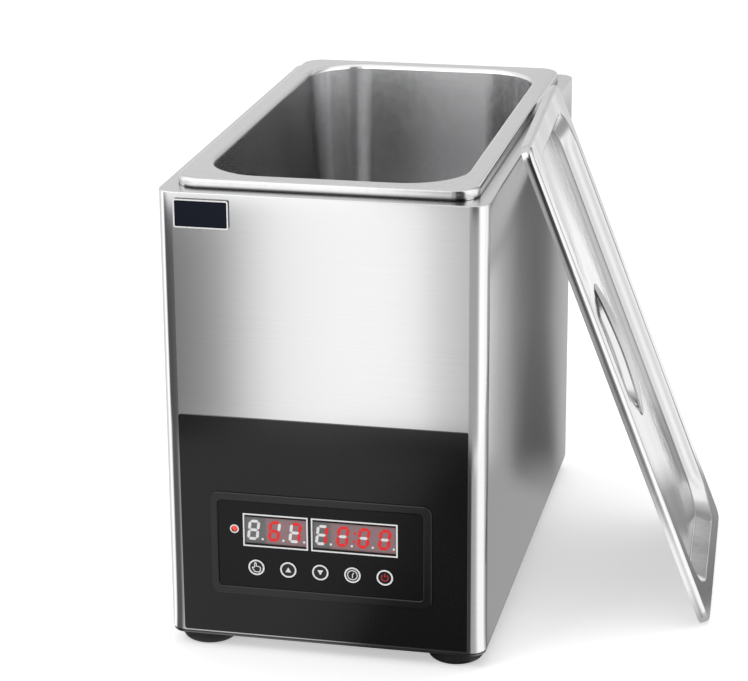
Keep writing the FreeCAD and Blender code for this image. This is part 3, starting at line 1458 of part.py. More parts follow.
def make_lid():
    """The stamped lid: flange with a turned-down lip, dished centre and a hand recess."""
    body = new_body("lid_shell")
    sheet = dim.lid_sheet
    lip_low = -dim.lid_lip

    def plate(step, corner):
        step = as_size(step)
        return lambda sketch: centred(sketch, dim.lid_length - 2 * step,
                                      dim.lid_width - 2 * step, corner)

    slab(body, "XY", lip_low, 0, plate(0, dim.lid_corner))
    cut(body, "XY", lip_low, -sheet, plate(sheet, dim.lid_corner - sheet))
    dress(body, "Fillet", lies_at("XY", -sheet), dim.lid_bend - sheet)
    dress(body, "Fillet", lies_at("XY", 0), dim.lid_bend)

    run = dim.lid_dish_run
    corner = dim.lid_dish_corner
    floor = -dim.lid_dish
    under = floor - sheet
    wall = dim.lid_flange - sheet
    loft(body, "AdditiveLoft", under, plate(wall + run, corner - run + sheet),
         -sheet, plate(wall, corner + sheet))

    def recess(step):
        step = 2 * as_size(step)
        return lambda sketch: ellipse(sketch, dim.recess_length + step, dim.recess_width + step)

    recess_floor = floor - dim.recess_depth
    loft(body, "AdditiveLoft", recess_floor - sheet, recess(sheet - dim.recess_run),
         under, recess(sheet))
    loft(body, "SubtractiveLoft", floor, plate(dim.lid_flange + run, corner - run),
         0, plate(dim.lid_flange, corner))
    loft(body, "SubtractiveLoft", recess_floor, recess(-dim.recess_run), floor, recess(0))

    bend = dim.lid_dish_bend
    beyond_recess = (dim.recess_length / 2 + bend, dim.recess_width / 2 + bend)
    inside_edge = (dim.lid_length / 2 - dim.lid_flange / 2, dim.lid_width / 2 - dim.lid_flange / 2)
    dress(body, "Fillet", lies_at("XY", recess_floor), bend)
    dress(body, "Fillet", lies_at("XY", recess_floor - sheet), bend + sheet)
    dress(body, "Fillet", lies_at("XY", floor, beyond=beyond_recess), bend)
    dress(body, "Fillet", lies_at("XY", under, beyond=beyond_recess), bend + sheet)
    dress(body, "Fillet", lies_at("XY", under, within=beyond_recess), bend - sheet)
    dress(body, "Fillet", lies_at("XY", floor, within=beyond_recess), bend)
    dress(body, "Fillet", lies_at("XY", -sheet, within=inside_edge), bend - sheet)
    dress(body, "Fillet", lies_at("XY", 0, within=inside_edge), bend)
    body.Placement = lid_placement()

    strap = new_body("lid_handle")
    end = dim.recess_length / 2 + dim.strap_overlap
    waist = dim.strap_waist
    rise, thick = dim.strap_rise, dim.strap_thickness
    # the underside leaves the dish at the ends of the recess and is part of a round over it
    span = dim.recess_length / 2
    bow = (span * span + rise * rise) / (2 * rise)
    centre = floor + rise - bow

    def draw_strap(sketch):
        outline(sketch, (
            (-end, -dim.strap_end / 2), (-waist, -dim.strap_width / 2),
            (waist, -dim.strap_width / 2), (end, -dim.strap_end / 2),
            (end, dim.strap_end / 2), (waist, dim.strap_width / 2),
            (-waist, dim.strap_width / 2), (-end, dim.strap_end / 2),
        ))

    def draw_beyond(sketch):
        centred(sketch, 2 * bow + 4 * thick, 2 * bow + 4 * thick, y=centre)
        circle(sketch, 0, centre, 2 * (bow + thick))

    slab(strap, "XY", floor, floor + rise + thick, draw_strap)
    shoulder = (waist + CLEAR, dim.strap_width)
    dress(strap, "Fillet", stands_up(within=shoulder), dim.strap_round)
    dress(strap, "Fillet", stands_up(beyond=(end - CLEAR, dim.strap_width)), dim.strap_end_round)
    cut(strap, "XZ", -dim.strap_width, dim.strap_width,
        lambda sketch: circle(sketch, 0, centre, 2 * bow))
    cut(strap, "XZ", -dim.strap_width, dim.strap_width, draw_beyond)
    strap.Placement = lid_placement()


# ---------------------------------------------------------------------------------------------
# Build, test and export
# ---------------------------------------------------------------------------------------------

def build_all():
    """Make every sub-part, outside first."""
    make_outer_wrap()
    make_top_deck()
    make_base_tray()
    make_feet()
    make_rear_cover()
    make_cable_gland()
    make_badge()
    make_inner_well()
    make_jacket()
    make_pan()
    make_element()
    make_probe()
    make_cutout()
    make_fascia()
    make_bezel()
    make_film()
    make_display("temperature_display", temperature_x, TEMPERATURE_DIGITS)
    make_display("timer_display", timer_x, TIMER_DIGITS)
    make_segments()
    make_lamp()
    make_keys()
    make_switches()
    make_control_board()
    make_power_board()
    make_transformer()
    make_relay()
    make_heat_sink()
    make_terminals()
    make_lid()


def test_document():
    """Stop if any object of the document failed, or a sub-part has no sound solid."""
    doc.recompute()
    for item in doc.Objects:
        if "Invalid" in item.State or "Error" in item.State:
            raise RuntimeError(f"{item.Name} failed: {item.State}")
    for node in nodes:
        shape = node.Shape
        if shape.isNull() or not shape.isValid() or not shape.Solids:
            raise RuntimeError(f"{node.Label} has no sound solid")


def export_parts():
    """Write one STEP file for each sub-part, named after it."""
    os.makedirs("parts", exist_ok=True)
    for node in nodes:
        node.Shape.exportStep(os.path.join("parts", f"{node.Label}.step"))
        print(f"{node.Label}: {len(node.Shape.Solids)} solids, {node.Shape.Volume:.0f} mm3")


build_all()
test_document()
export_parts()
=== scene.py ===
"""Looks of the counter-top egg boiler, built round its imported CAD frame."""

from math import cos, pi, radians, sin

import bmesh
import bpy
from mathutils import Matrix, Vector


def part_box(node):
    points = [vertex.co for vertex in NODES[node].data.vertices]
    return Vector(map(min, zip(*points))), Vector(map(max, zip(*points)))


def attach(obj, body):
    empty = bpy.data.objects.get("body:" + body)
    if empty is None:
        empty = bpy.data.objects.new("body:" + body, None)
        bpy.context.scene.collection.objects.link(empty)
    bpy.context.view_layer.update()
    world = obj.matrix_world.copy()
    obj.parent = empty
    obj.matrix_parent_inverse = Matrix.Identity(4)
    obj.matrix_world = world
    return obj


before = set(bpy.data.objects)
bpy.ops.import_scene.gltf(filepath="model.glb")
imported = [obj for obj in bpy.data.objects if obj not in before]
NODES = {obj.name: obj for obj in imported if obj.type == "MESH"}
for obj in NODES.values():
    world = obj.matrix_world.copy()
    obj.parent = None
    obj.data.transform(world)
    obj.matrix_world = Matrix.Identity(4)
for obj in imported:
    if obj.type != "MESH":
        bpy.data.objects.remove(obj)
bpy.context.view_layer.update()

MM = 0.001
DEGREE = radians(1.0)

# ---- where the photograph was taken from ---------------------------------------------------------

PICTURE_WIDTH = 748
FOCAL_PIXELS = 2548.9
SENSOR_WIDTH = 36.0
CAMERA_AT = Vector((0.3256, -1.5144, 0.6596))
CAMERA_AZIMUTH = radians(12.37)
CAMERA_ELEVATION = radians(18.44)
CAMERA_ROLL = radians(-0.40)
CAMERA_NEAR = 0.05
CAMERA_FAR = 60.0

# ---- stage: a pale floor, plain soft light, and a surround that only reflections see --------------

WHITE = (1.0, 1.0, 1.0, 1.0)
# How brightly the world lights the object. Seen directly it is plain white.
WORLD_FILL = 0.62
FLOOR_SIZE = 24.0
FLOOR_COLOUR = 0.86
# The light that the floor is lent where it is seen directly.
FLOOR_LIFT = 0.46
# The key light is a soft box at the left in front, and the other one hangs over the object.
KEY_LIGHT = {"at": (-1.1, -1.3, 1.7), "aim": (0.0, 0.0, 0.15), "size": (1.1, 1.1), "power": 13.0}
TOP_LIGHT = {"at": (0.2, 0.3, 1.9), "aim": (0.0, 0.0, 0.2), "size": (1.0, 1.0), "power": 7.0}

# The cards are a ring round the object and a disc on the table. SURROUND_TOP is the brightest they can be.
SURROUND_RADIUS = 0.52
SURROUND_HEIGHT = 0.95
SURROUND_SIDES = 96
SURROUND_TOP = 2.6
CARD_LIFT = 0.0006
# Azimuth in degrees, 0 in front and 90 at the right, and how bright the cards are there: the foot of the
# wall, its lower row and its upper row.
FOOT_CARDS = (
    (-180, 0.85), (-95, 1.00), (-78, 1.65), (-72, 1.65), (-56, 0.50), (-44, 0.14), (-26, 0.40),
    (-20, 0.85), (-10, 0.80), (-6, 0.50), (-2, 0.10), (12, 0.05), (22, 0.45), (48, 1.60), (90, 1.60),
    (110, 0.60), (180, 0.60),
)
LOW_CARDS = (
    (-180, 0.60), (-150, 0.92), (-92, 1.00), (-78, 1.65), (-68, 1.60), (-56, 0.12), (-27, 0.16),
    (-20, 0.34), (-15, 0.92), (-10, 1.40), (-5, 1.46), (0, 1.06), (3, 0.78), (7, 0.60), (12, 0.56),
    (30, 0.56), (42, 0.80), (60, 1.70), (86, 1.45), (97, 1.45), (106, 0.62), (120, 0.50), (180, 0.75),
)
HIGH_CARDS = (
    (-180, 0.84), (-120, 0.90), (-92, 1.00), (-78, 1.50), (-60, 1.60), (-10, 1.65), (-4, 1.40),
    (2, 0.70), (12, 0.50), (18, 0.10), (36, 0.10), (46, 1.30), (62, 1.65), (84, 1.40), (97, 1.40),
    (112, 0.90), (126, 0.60), (140, 0.42), (147, 0.66), (151, 0.92), (154, 1.30), (156, 1.02),
    (158, 0.90), (170, 0.76), (180, 0.84),
)
# The table beside the left and the right front corner, by degrees round that corner.
TABLE_LEFT_CARDS = (
    (0, 0.82), (14, 0.85), (24, 0.60), (40, 0.14), (66, 0.16), (86, 1.60), (97, 1.60), (112, 1.00),
    (180, 0.90),
)
TABLE_RIGHT_CARDS = (
    (0, 0.06), (8, 0.08), (15, 0.50), (36, 0.64), (48, 1.00), (66, 1.50), (92, 1.50), (112, 0.90),
    (126, 0.50), (136, 0.24), (150, 0.32), (165, 0.42), (180, 0.42),
)
CORNER_AT = (0.086, -0.162)
# Between the corners, in millimetres across the table.
FRONT_CARDS = ((-86, 0.82), (-30, 0.76), (0, 0.50), (24, 0.10), (86, 0.06))
# Long strips behind at the right, over table and wall: millimetres across them, and how bright they are.
STRIP_CARDS = (
    (-90, 0.72), (50, 0.66), (67, 0.56), (75, 0.32), (81, 0.13), (104, 0.11), (109, 0.36), (118, 0.42),
    (126, 0.66), (138, 1.15), (190, 1.15), (270, 0.80),
)
# Which way the strips run, the turns between which they come in, and, on the table, the distances from
# the middle between which they do.
STRIP_WAY = radians(171)
STRIP_TURNS = (radians(131), radians(140))
STRIP_REACH = (0.12, 0.25)
# The heights between which the foot gives way to the lower row.
FOOT_HEIGHT = (0.008, 0.016)
# How high the lower row reaches: to the top of the front, less high past ROW_TURNS at the right, and
# REAR_RISE higher again past REAR_RISE_TURNS. ROW_BLEND is half of what it takes to give way to the upper.
LOW_ROW_FRONT = 0.187
LOW_ROW_REAR = 0.095
ROW_TURNS = (radians(60), radians(120))
REAR_RISE = 0.11
REAR_RISE_TURNS = (radians(155), radians(165))
ROW_BLEND = 0.003

# ---- finishes: colours from 0 to 1, sizes and depths in metres ------------------------------------

STEEL = (0.62, 0.62, 0.625)
# A share that goes from none to full, and one that goes from full to none.
RISING = (0.0, 1.0)
FALLING = (1.0, 0.0)
# The part of its range that a noise texture mostly keeps to.
NOISE_RANGE = (0.3, 0.7)
# A share of one half, for two textures that count the same.
EVENLY = 0.5
# Where a Mix node keeps its two terms and its result, for numbers and for colours.
MIX_NUMBERS = (2, 3, 0)
MIX_COLOURS = (6, 7, 2)

# How fine a grain is along X, Y and Z.
EVEN_GRAIN = (300.0, 300.0, 300.0)
ALONG_Y = (900.0, 6.0, 900.0)
ROUND_Z = (6.0, 6.0, 900.0)
SHEET_GRAIN_DEPTH = 6e-7
SHEET_VARIATION = 0.12
WIPING_SCALE = 9.0
WIPING_STRETCH = (1.0, 1.0, 0.6)
# The shader counts its anisotropic rotation in whole turns.
QUARTER_TURN = 0.25

WRAP_ROUGHNESS = 0.105
WRAP_ROUGHNESS_RANGE = (0.095, 0.115)
WRAP_CONTRAST = 0.012
WRAP_STRETCH = 0.5

PAN_SATIN = 0.22
PAN_BRIGHT = 0.12
PAN_CONTRAST = 0.03
PAN_VARIATION = 0.15
PAN_GRAIN_SCALE = 260.0
PAN_GRAIN_DEPTH = 1e-6
PAN_MARK_SCALE = 14.0
PAN_MARK_SHARE = 0.6
# Where the pan's lip begins, from its middle along X and Y.
PAN_LIP_FROM = (0.0850, 0.1595)
PAN_LIP_BLEND = (0.0, 1.0 * MM)
# Painted shade on the pan's left wall inside and a painted highlight on its back wall inside, as factors on
# the steel's colour. Each is known by the way it faces along X or Y, and by its place along it.
PAN_LEFT_PAINTED_SHADE = 0.42
PAN_SIDE_FACING = (0.75, 0.97)
PAN_SIDE_PLACE = (-0.04, -0.02)
PAN_BACK_PAINTED_HIGHLIGHT = 1.45
PAN_BACK_FACING = (-0.5, -0.15)
PAN_BACK_PLACE = (0.10, 0.12)
# A painted shadow darkens the foot of the pan's lip, where it stands close over the deck: from full to none
# by height.
PAN_GAP_PAINTED_SHADOW = (0.2838, 0.2850)
# How dark the painted shadows are, here and on the lid's lips.
PAINTED_SHADOW_SHADE = 0.1

LID_LEAN = radians(21.2)
LID_YAW = radians(3.0)
# Turns the lid upright and square, for textures that run along it.
LID_TURN = (0.0, -LID_LEAN, -LID_YAW)
LID_CONTRAST = 0.05
LID_VARIATION = 0.2
LID_STRETCH = 0.8
LID_GRAIN = (900.0, 900.0, 6.0)
LID_GRAIN_DEPTH = 8e-7
LID_MARKS = (20.0, 60.0, 6.0)
LID_STREAKS = (120.0, 120.0, 1.2)
LID_STREAK_DEPTH = 0.00011
# The dished centre is crowned by LID_CROWN times the square of the distance from its middle line, and has
# slow waves across it, LID_BAND long.
LID_DISH_HALF = 0.066
LID_CROWN = 0.22
LID_BAND = 0.048
LID_BAND_DEPTH = 0.0001
# Painted reflections along the dish's long walls, as darker bands: how wide a pair is, how strong and how
# dark, where the walls begin and end from the lid's middle line, how deep they start, and where they stop
# short of the ends.
LID_WALL_BAND = 0.0042
LID_WALL_BAND_STRENGTH = 0.3
LID_WALL_REFLECTION_SHADE = 0.3
LID_WALL_FOOT = (0.0640, 0.0650)
LID_WALL_TOP = (0.0750, 0.0765)
LID_WALL_DEPTH = (0.0003, 0.0012)
LID_WALL_END = (0.118, 0.130)
# The painted shadow line on the lid's lips: how far below the lid's face it begins and ends, how far round
# to the front or the rear a surface has to face, and between which heights it comes up to its full
# strength.
LIP_LINE_TOP = (0.0018, 0.0030)
LIP_LINE_FOOT = (0.0034, 0.0048)
LIP_TURN = (0.90, 0.95)
LIP_LINE_FADE = (0.05, 0.24)
LIP_LINE_STRENGTH = (0.3, 1.0)

# How much slower than its grain the colour of a moulded piece drifts.
DRIFT = 60.0
GRAINED_VARIATION = 0.15
RESIN_ROUGHNESS = 0.35
RESIN_CONTRAST = 0.1
RESIN_CLOUDS = 2500.0

TRIM_SILVER = (0.88, 0.88, 0.89)
TRIM_SILVERS = ((0.84, 0.84, 0.85), (0.92, 0.92, 0.93))
TRIM_EDGE = (0.006, 0.006, 0.007)
TRIM_FACING = (0.4, 0.8)
TRIM_METALLIC = 0.3
TRIM_ROUGHNESS = 0.30
TRIM_ROUGHNESS_RANGE = (0.26, 0.34)
TRIM_CLOUDS = 900.0

DISPLAY_GREY = (0.17, 0.165, 0.17)
# The pink of the painted glow from lit digits on the grey face.
DISPLAY_PAINTED_GLOW = (0.32, 0.20, 0.21)
DISPLAY_CONTRAST = 0.1
DISPLAY_ROUGHNESS = 0.35
DISPLAY_ROUGHNESS_RANGE = (0.30, 0.40)
DISPLAY_CLOUDS = 700.0
# Where the lit digits, and the painted glow beside them, start in each window, where the first window's lit
# digits end, and how softly.
LIT_FROM = (-0.0345, 0.0045)
LIT_UNTIL = -0.0085
GLOW_EDGE = 0.0012


def feed(tree, socket, term):
    """Sets a number on a socket itself, or links an output to it."""
    if isinstance(term, float):
        socket.default_value = term
    else:
        tree.links.new(term, socket)


def ranged(tree, source, source_range, target_range, kind="LINEAR"):
    """Stretches one range of a value to another, and holds it at the ends."""
    made = tree.nodes.new("ShaderNodeMapRange")
    made.interpolation_type = kind
    made.inputs["From Min"].default_value, made.inputs["From Max"].default_value = source_range
    made.inputs["To Min"].default_value, made.inputs["To Max"].default_value = target_range
    tree.links.new(source, made.inputs["Value"])
    return made.outputs["Result"]


def computed(tree, operation, *terms):
    """A Math node of numbers and sockets."""
    made = tree.nodes.new("ShaderNodeMath")
    made.operation = operation
    for socket, term in zip(made.inputs, terms):
        feed(tree, socket, term)
    return made.outputs[0]


def product(tree, first, *others):
    """All of them multiplied."""
    for other in others:
        first = computed(tree, "MULTIPLY", first, other)
    return first


def blended(tree, share, first, second):
    """From the first to the second by a share, each of them a number or a socket."""
    made = tree.nodes.new("ShaderNodeMix")
    at_first, at_second, at_result = MIX_NUMBERS
    feed(tree, made.inputs["Factor"], share)
    feed(tree, made.inputs[at_first], first)
    feed(tree, made.inputs[at_second], second)
    return made.outputs[at_result]


def wave(tree, place, length):
    """A sine wave along a line, from -1 to 1."""
    return computed(tree, "SINE", computed(tree, "MULTIPLY", place, 2.0 * pi / length))


def middle(node):
    """The middle of a CAD node's box."""
    low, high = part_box(node)
    return (low + high) / 2.0


def shade(colour, factor):
    """A colour made darker or lighter by a factor."""
    return tuple(channel * factor for channel in colour)


def shades(colour, contrast):
    """A colour made a little darker and a little lighter."""
    return shade(colour, 1.0 - contrast), shade(colour, 1.0 + contrast)


def around(value, variation):
    """A value made a little lower and a little higher."""
    return value * (1.0 - variation), value * (1.0 + variation)


class Finish:
    """One material: a Principled shader and the procedural textures that feed it."""

    def __init__(self, name, colour, roughness, metallic=0.0, **sockets):
        self.material = bpy.data.materials.new(name)
        self.material.use_nodes = True
        self.tree = self.material.node_tree
        self.shader = self.tree.nodes["Principled BSDF"]
        self.set("Base Color", (*colour, 1.0))
        self.set("Roughness", roughness)
        self.set("Metallic", metallic)
        for socket, value in sockets.items():
            self.set(socket.replace("_", " "), value)

    def set(self, socket, value):
        self.shader.inputs[socket].default_value = value

    def node(self, kind, **settings):
        made = self.tree.nodes.new(kind)
        for key, value in settings.items():
            setattr(made, key, value)
        return made

    def link(self, source, target):
        self.tree.links.new(source, target)

    def place(self, stretch=(1.0, 1.0, 1.0), turn=(0.0, 0.0, 0.0)):
        """Object coordinates in metres, turned and then stretched."""
        where = self.node("ShaderNodeTexCoord").outputs["Object"]
        turned = self.node("ShaderNodeMapping")
        turned.inputs["Rotation"].default_value = turn
        self.link(where, turned.inputs["Vector"])
        scaled = self.node("ShaderNodeMapping")
        scaled.inputs["Scale"].default_value = stretch
        self.link(turned.outputs["Vector"], scaled.inputs["Vector"])
        return scaled.outputs["Vector"]

    def parts(self, vector):
        """The X, Y and Z of a vector."""
        made = self.node("ShaderNodeSeparateXYZ")
        self.link(vector, made.inputs[0])
        return made.outputs

    def facing(self):
        """The X, Y and Z of the way that the surface faces."""
        return self.parts(self.node("ShaderNodeNewGeometry").outputs["Normal"])

    def noise(self, where, scale=1.0, detail=2.0):
        made = self.node("ShaderNodeTexNoise")
        made.inputs["Scale"].default_value = scale
        made.inputs["Detail"].default_value = detail
        self.link(where, made.inputs["Vector"])
        return made.outputs["Fac"]

    def spread(self, source, low=0.0, high=1.0):
        """Stretches the middle of a texture's range to low..high."""
        return ranged(self.tree, source, NOISE_RANGE, (low, high))

    def mix(self, factor, first, second):
        """From the first colour to the second, either of them a colour or a socket."""
        made = self.node("ShaderNodeMix", data_type="RGBA")
        self.link(factor, made.inputs["Factor"])
        at_first, at_second, at_result = MIX_COLOURS
        for socket, value in ((made.inputs[at_first], first), (made.inputs[at_second], second)):
            if isinstance(value, tuple):
                socket.default_value = (*value, 1.0)
            else:
                self.link(value, socket)
        return made.outputs[at_result]

    def colour_by(self, factor, first, second):
        self.link(self.mix(factor, first, second), self.shader.inputs["Base Color"])

    def vary_colour(self, source, colour, contrast):
        self.colour_by(self.spread(source), *shades(colour, contrast))

    def roughness_by(self, source, low, high):
        self.link(self.spread(source, low, high), self.shader.inputs["Roughness"])

    def vary_roughness(self, source, roughness, variation):
        self.roughness_by(source, *around(roughness, variation))

    def bump_by(self, source, depth):
        made = self.node("ShaderNodeBump")
        made.inputs["Strength"].default_value = 1.0
        made.inputs["Distance"].default_value = depth
        self.link(source, made.inputs["Height"])
        self.link(made.outputs["Normal"], self.shader.inputs["Normal"])

    def stretch_round_z(self, amount):
        """Reflections drawn out up and down, as a sheet does that is ground round the body."""
        way = self.node("ShaderNodeTangent", direction_type="RADIAL", axis="Z")
        self.link(way.outputs["Tangent"], self.shader.inputs["Tangent"])
        self.set("Anisotropic", amount)
        self.set("Anisotropic Rotation", QUARTER_TURN)

    def stretch_along(self, way, amount):
        """Reflections drawn out along one direction."""
        made = self.node("ShaderNodeCombineXYZ")
        for socket, value in zip(made.inputs, way):
            socket.default_value = value
        self.link(made.outputs[0], self.shader.inputs["Tangent"])
        self.set("Anisotropic", amount)


def brushed(name, colour, roughness, grain, contrast=0.02):
    """Metal with faint wiping marks and a grain, of which grain says how fine it is along X, Y and Z."""
    made = Finish(name, colour, roughness, metallic=1.0)
    lines = made.noise(made.place(grain), detail=3.0)
    marks = made.noise(made.place(WIPING_STRETCH), WIPING_SCALE, detail=3.0)
    made.vary_colour(lines, colour, contrast)
    made.vary_roughness(blended(made.tree, EVENLY, lines, marks), roughness, SHEET_VARIATION)
    made.bump_by(lines, SHEET_GRAIN_DEPTH)
    return made.material


def wrap_steel():
    """The outer sheet, ground round the body, so that what it mirrors is drawn out up and down."""
    made = Finish("stainless_round", STEEL, WRAP_ROUGHNESS, metallic=1.0)
    made.vary_colour(made.noise(made.place(ROUND_Z), detail=3.0), STEEL, WRAP_CONTRAST)
    marks = made.noise(made.place(WIPING_STRETCH), WIPING_SCALE, detail=3.0)
    made.roughness_by(marks, *WRAP_ROUGHNESS_RANGE)
    made.stretch_round_z(WRAP_STRETCH)
    return made.material


def pan_steel():
    """The pan: satin inside and on its flange, bright on the turned-down lip, with painted shade on its
    left wall inside, a painted highlight on its back wall inside and a painted shadow at the foot of its
    lip.
    """
    made = Finish("stainless_pan", STEEL, PAN_SATIN, metallic=1.0)
    tree = made.tree
    lines = made.noise(made.place(), PAN_GRAIN_SCALE)
    marks = made.noise(made.place(), PAN_MARK_SCALE, detail=4.0)
    spot = made.parts(made.place())
    lip = on_pan_lip(tree, spot)
    metal = made.mix(made.spread(lines), *shades(STEEL, PAN_CONTRAST))
    # Painted shade on the left wall inside, then a painted highlight on the back wall inside.
    metal = made.mix(on_pan_left_painted_shade(made, spot), metal, shade(STEEL, PAN_LEFT_PAINTED_SHADE))
    metal = made.mix(on_pan_back_painted_highlight(made, spot), metal, shade(STEEL, PAN_BACK_PAINTED_HIGHLIGHT))
    # A painted shadow at the foot of the lip, where it stands close over the deck.
    low = ranged(tree, spot["Z"], PAN_GAP_PAINTED_SHADOW, FALLING)
    made.colour_by(computed(tree, "MULTIPLY", lip, low), metal, shade(STEEL, PAINTED_SHADOW_SHADE))
    texture = blended(tree, PAN_MARK_SHARE, lines, marks)
    satin = made.spread(texture, *around(PAN_SATIN, PAN_VARIATION))
    made.link(blended(tree, lip, satin, PAN_BRIGHT), made.shader.inputs["Roughness"])
    made.bump_by(lines, PAN_GRAIN_DEPTH)
    return made.material


def on_pan_lip(tree, spot):
    """1 on the pan's turned-down lip, 0 elsewhere."""
    beyond = [
        computed(tree, "SUBTRACT", computed(tree, "ABSOLUTE", spot[axis]), limit)
        for axis, limit in zip("XY", PAN_LIP_FROM)
    ]
    return ranged(tree, computed(tree, "MAXIMUM", *beyond), PAN_LIP_BLEND, RISING)


def on_pan_left_painted_shade(finish, spot):
    """1 where the pan's left wall is painted in shade, inside; 0 elsewhere."""
    return computed(
        finish.tree, "MULTIPLY",
        ranged(finish.tree, finish.facing()["X"], PAN_SIDE_FACING, RISING),
        ranged(finish.tree, spot["X"], PAN_SIDE_PLACE, FALLING))


def on_pan_back_painted_highlight(finish, spot):
    """1 where the pan's back wall is painted with a highlight, inside; 0 elsewhere."""
    return computed(
        finish.tree, "MULTIPLY",
        ranged(finish.tree, finish.facing()["Y"], PAN_BACK_FACING, FALLING),
        ranged(finish.tree, spot["Y"], PAN_BACK_PLACE, RISING))


def lid_steel(name, colour, roughness):
    """The lid: a fine grain along it, and a dished centre that is a little crowned, as pressed sheet is;
    painted reflections as darker bands on the dish's long walls, and a painted shadow line on its lips.
    """
    made = Finish(name, colour, roughness, metallic=1.0)
    lines = made.noise(made.place(LID_GRAIN, LID_TURN), detail=3.0)
    marks = made.noise(made.place(LID_MARKS, LID_TURN), detail=3.0)
    across = across_lid(made)
    metal = made.mix(
        made.spread(blended(made.tree, EVENLY, lines, marks)), *shades(colour, LID_CONTRAST))
    # Painted reflections: darker bands along the dish's long walls.
    metal = made.mix(lid_wall_painted_reflections(made, across), metal, shade(colour, LID_WALL_REFLECTION_SHADE))
    # A painted shadow line along the lips.
    made.colour_by(lid_lip_shadow(made), metal, shade(colour, PAINTED_SHADOW_SHADE))
    made.vary_roughness(marks, roughness, LID_VARIATION)
    made.bump_by(lid_relief(made, across, lines), depth=1.0)
    made.stretch_along((sin(LID_LEAN), 0.0, -cos(LID_LEAN)), LID_STRETCH)
    return made.material


def across_lid(finish):
    """How far a place lies from the lid's middle line, across the lid."""
    middle_across = (Matrix.Rotation(-LID_YAW, 3, "Z") @ middle("lid_handle")).y
    spot = finish.parts(finish.place(turn=(0.0, 0.0, -LID_YAW)))
    return computed(finish.tree, "SUBTRACT", spot["Y"], middle_across)


def lid_relief(finish, across, lines):
    """How high the lid's face stands, in metres: its crown, its slow waves, its streaks and its grain."""
    tree = finish.tree
    half = (-LID_DISH_HALF, LID_DISH_HALF)
    inner = ranged(tree, across, half, half)
    crown = product(tree, inner, inner, LID_CROWN)
    streaks = finish.noise(finish.place(LID_STREAKS, LID_TURN))
    fine = computed(
        tree, "ADD",
        computed(tree, "MULTIPLY", lines, LID_GRAIN_DEPTH),
        computed(tree, "MULTIPLY", streaks, LID_STREAK_DEPTH))
    waves = computed(tree, "MULTIPLY", wave(tree, across, LID_BAND), LID_BAND_DEPTH)
    return computed(tree, "ADD", computed(tree, "ADD", crown, fine), waves)


def lid_wall_painted_reflections(finish, across):
    """The painted reflections along the lid's dished long walls, as darker bands: their strength there, 0
    elsewhere.
    """
    tree = finish.tree
    from_middle = computed(tree, "ABSOLUTE", across)
    up_lid = Matrix.Rotation(LID_YAW, 3, "Z") @ Vector((-sin(LID_LEAN), 0.0, cos(LID_LEAN)))
    along = computed(tree, "SUBTRACT", distance_along(finish, up_lid), up_lid.dot(middle("lid_shell")))
    return product(
        tree,
        ranged(tree, from_middle, LID_WALL_FOOT, RISING),
        ranged(tree, from_middle, LID_WALL_TOP, FALLING),
        ranged(tree, below_lid_face(finish), LID_WALL_DEPTH, RISING),
        ranged(tree, computed(tree, "ABSOLUTE", along), LID_WALL_END, FALLING),
        ranged(tree, wave(tree, across, LID_WALL_BAND), (-1.0, 1.0), (0.0, LID_WALL_BAND_STRENGTH)))


def distance_along(finish, way):
    """How far a place lies along a direction from the origin."""
    reach = finish.node("ShaderNodeVectorMath", operation="DOT_PRODUCT")
    finish.link(finish.place(), reach.inputs[0])
    reach.inputs[1].default_value = way
    return reach.outputs["Value"]


def below_lid_face(finish):
    """How far a place lies below the plane of the lid's flange."""
    outward = Matrix.Rotation(LID_YAW, 3, "Z") @ Vector((cos(LID_LEAN), 0.0, sin(LID_LEAN)))
    face = max(outward.dot(vertex.co) for vertex in NODES["lid_shell"].data.vertices)
    return computed(finish.tree, "SUBTRACT", face, distance_along(finish, outward))


def lid_lip_shadow(finish):
    """How dark the painted shadow line along the lid's front and rear lips is: weaker lower down, 0
    elsewhere.
    """
    tree = finish.tree
    below = below_lid_face(finish)
    height = finish.parts(finish.place())["Z"]
    return product(
        tree,
        ranged(tree, below, LIP_LINE_TOP, RISING),
        ranged(tree, below, LIP_LINE_FOOT, FALLING),
        ranged(tree, computed(tree, "ABSOLUTE", finish.facing()["Y"]), LIP_TURN, RISING),
        ranged(tree, height, LIP_LINE_FADE, LIP_LINE_STRENGTH))


def grained(name, colour, roughness, scale, depth, contrast=0.12, **sockets):
    """Moulded, painted or rubbery stuff with a fine even grain and slow colour drift."""
    made = Finish(name, colour, roughness, **sockets)
    fine = made.noise(made.place(), scale)
    slow = made.noise(made.place(), scale / DRIFT)
    made.vary_colour(blended(made.tree, EVENLY, fine, slow), colour, contrast)
    made.vary_roughness(slow, roughness, GRAINED_VARIATION)
    made.bump_by(fine, depth)
    return made.material


def glowing(name, light, strength, body):
    """A milky resin with a lamp behind it."""
    made = Finish(name, body, RESIN_ROUGHNESS, Emission_Color=(*light, 1.0), Emission_Strength=strength)
    made.vary_colour(made.noise(made.place(), RESIN_CLOUDS, detail=1.0), body, RESIN_CONTRAST)
    return made.material


def plate_trim():
    """The badge plate: silver on its face, black down its edges."""
    made = Finish("bright_trim", TRIM_SILVER, TRIM_ROUGHNESS, metallic=TRIM_METALLIC)
    face = ranged(made.tree, computed(made.tree, "ABSOLUTE", made.facing()["Y"]), TRIM_FACING, RISING)
    cloud = made.noise(made.place(), TRIM_CLOUDS)
    made.colour_by(face, TRIM_EDGE, made.mix(made.spread(cloud), *TRIM_SILVERS))
    made.roughness_by(cloud, *TRIM_ROUGHNESS_RANGE)
    return made.material


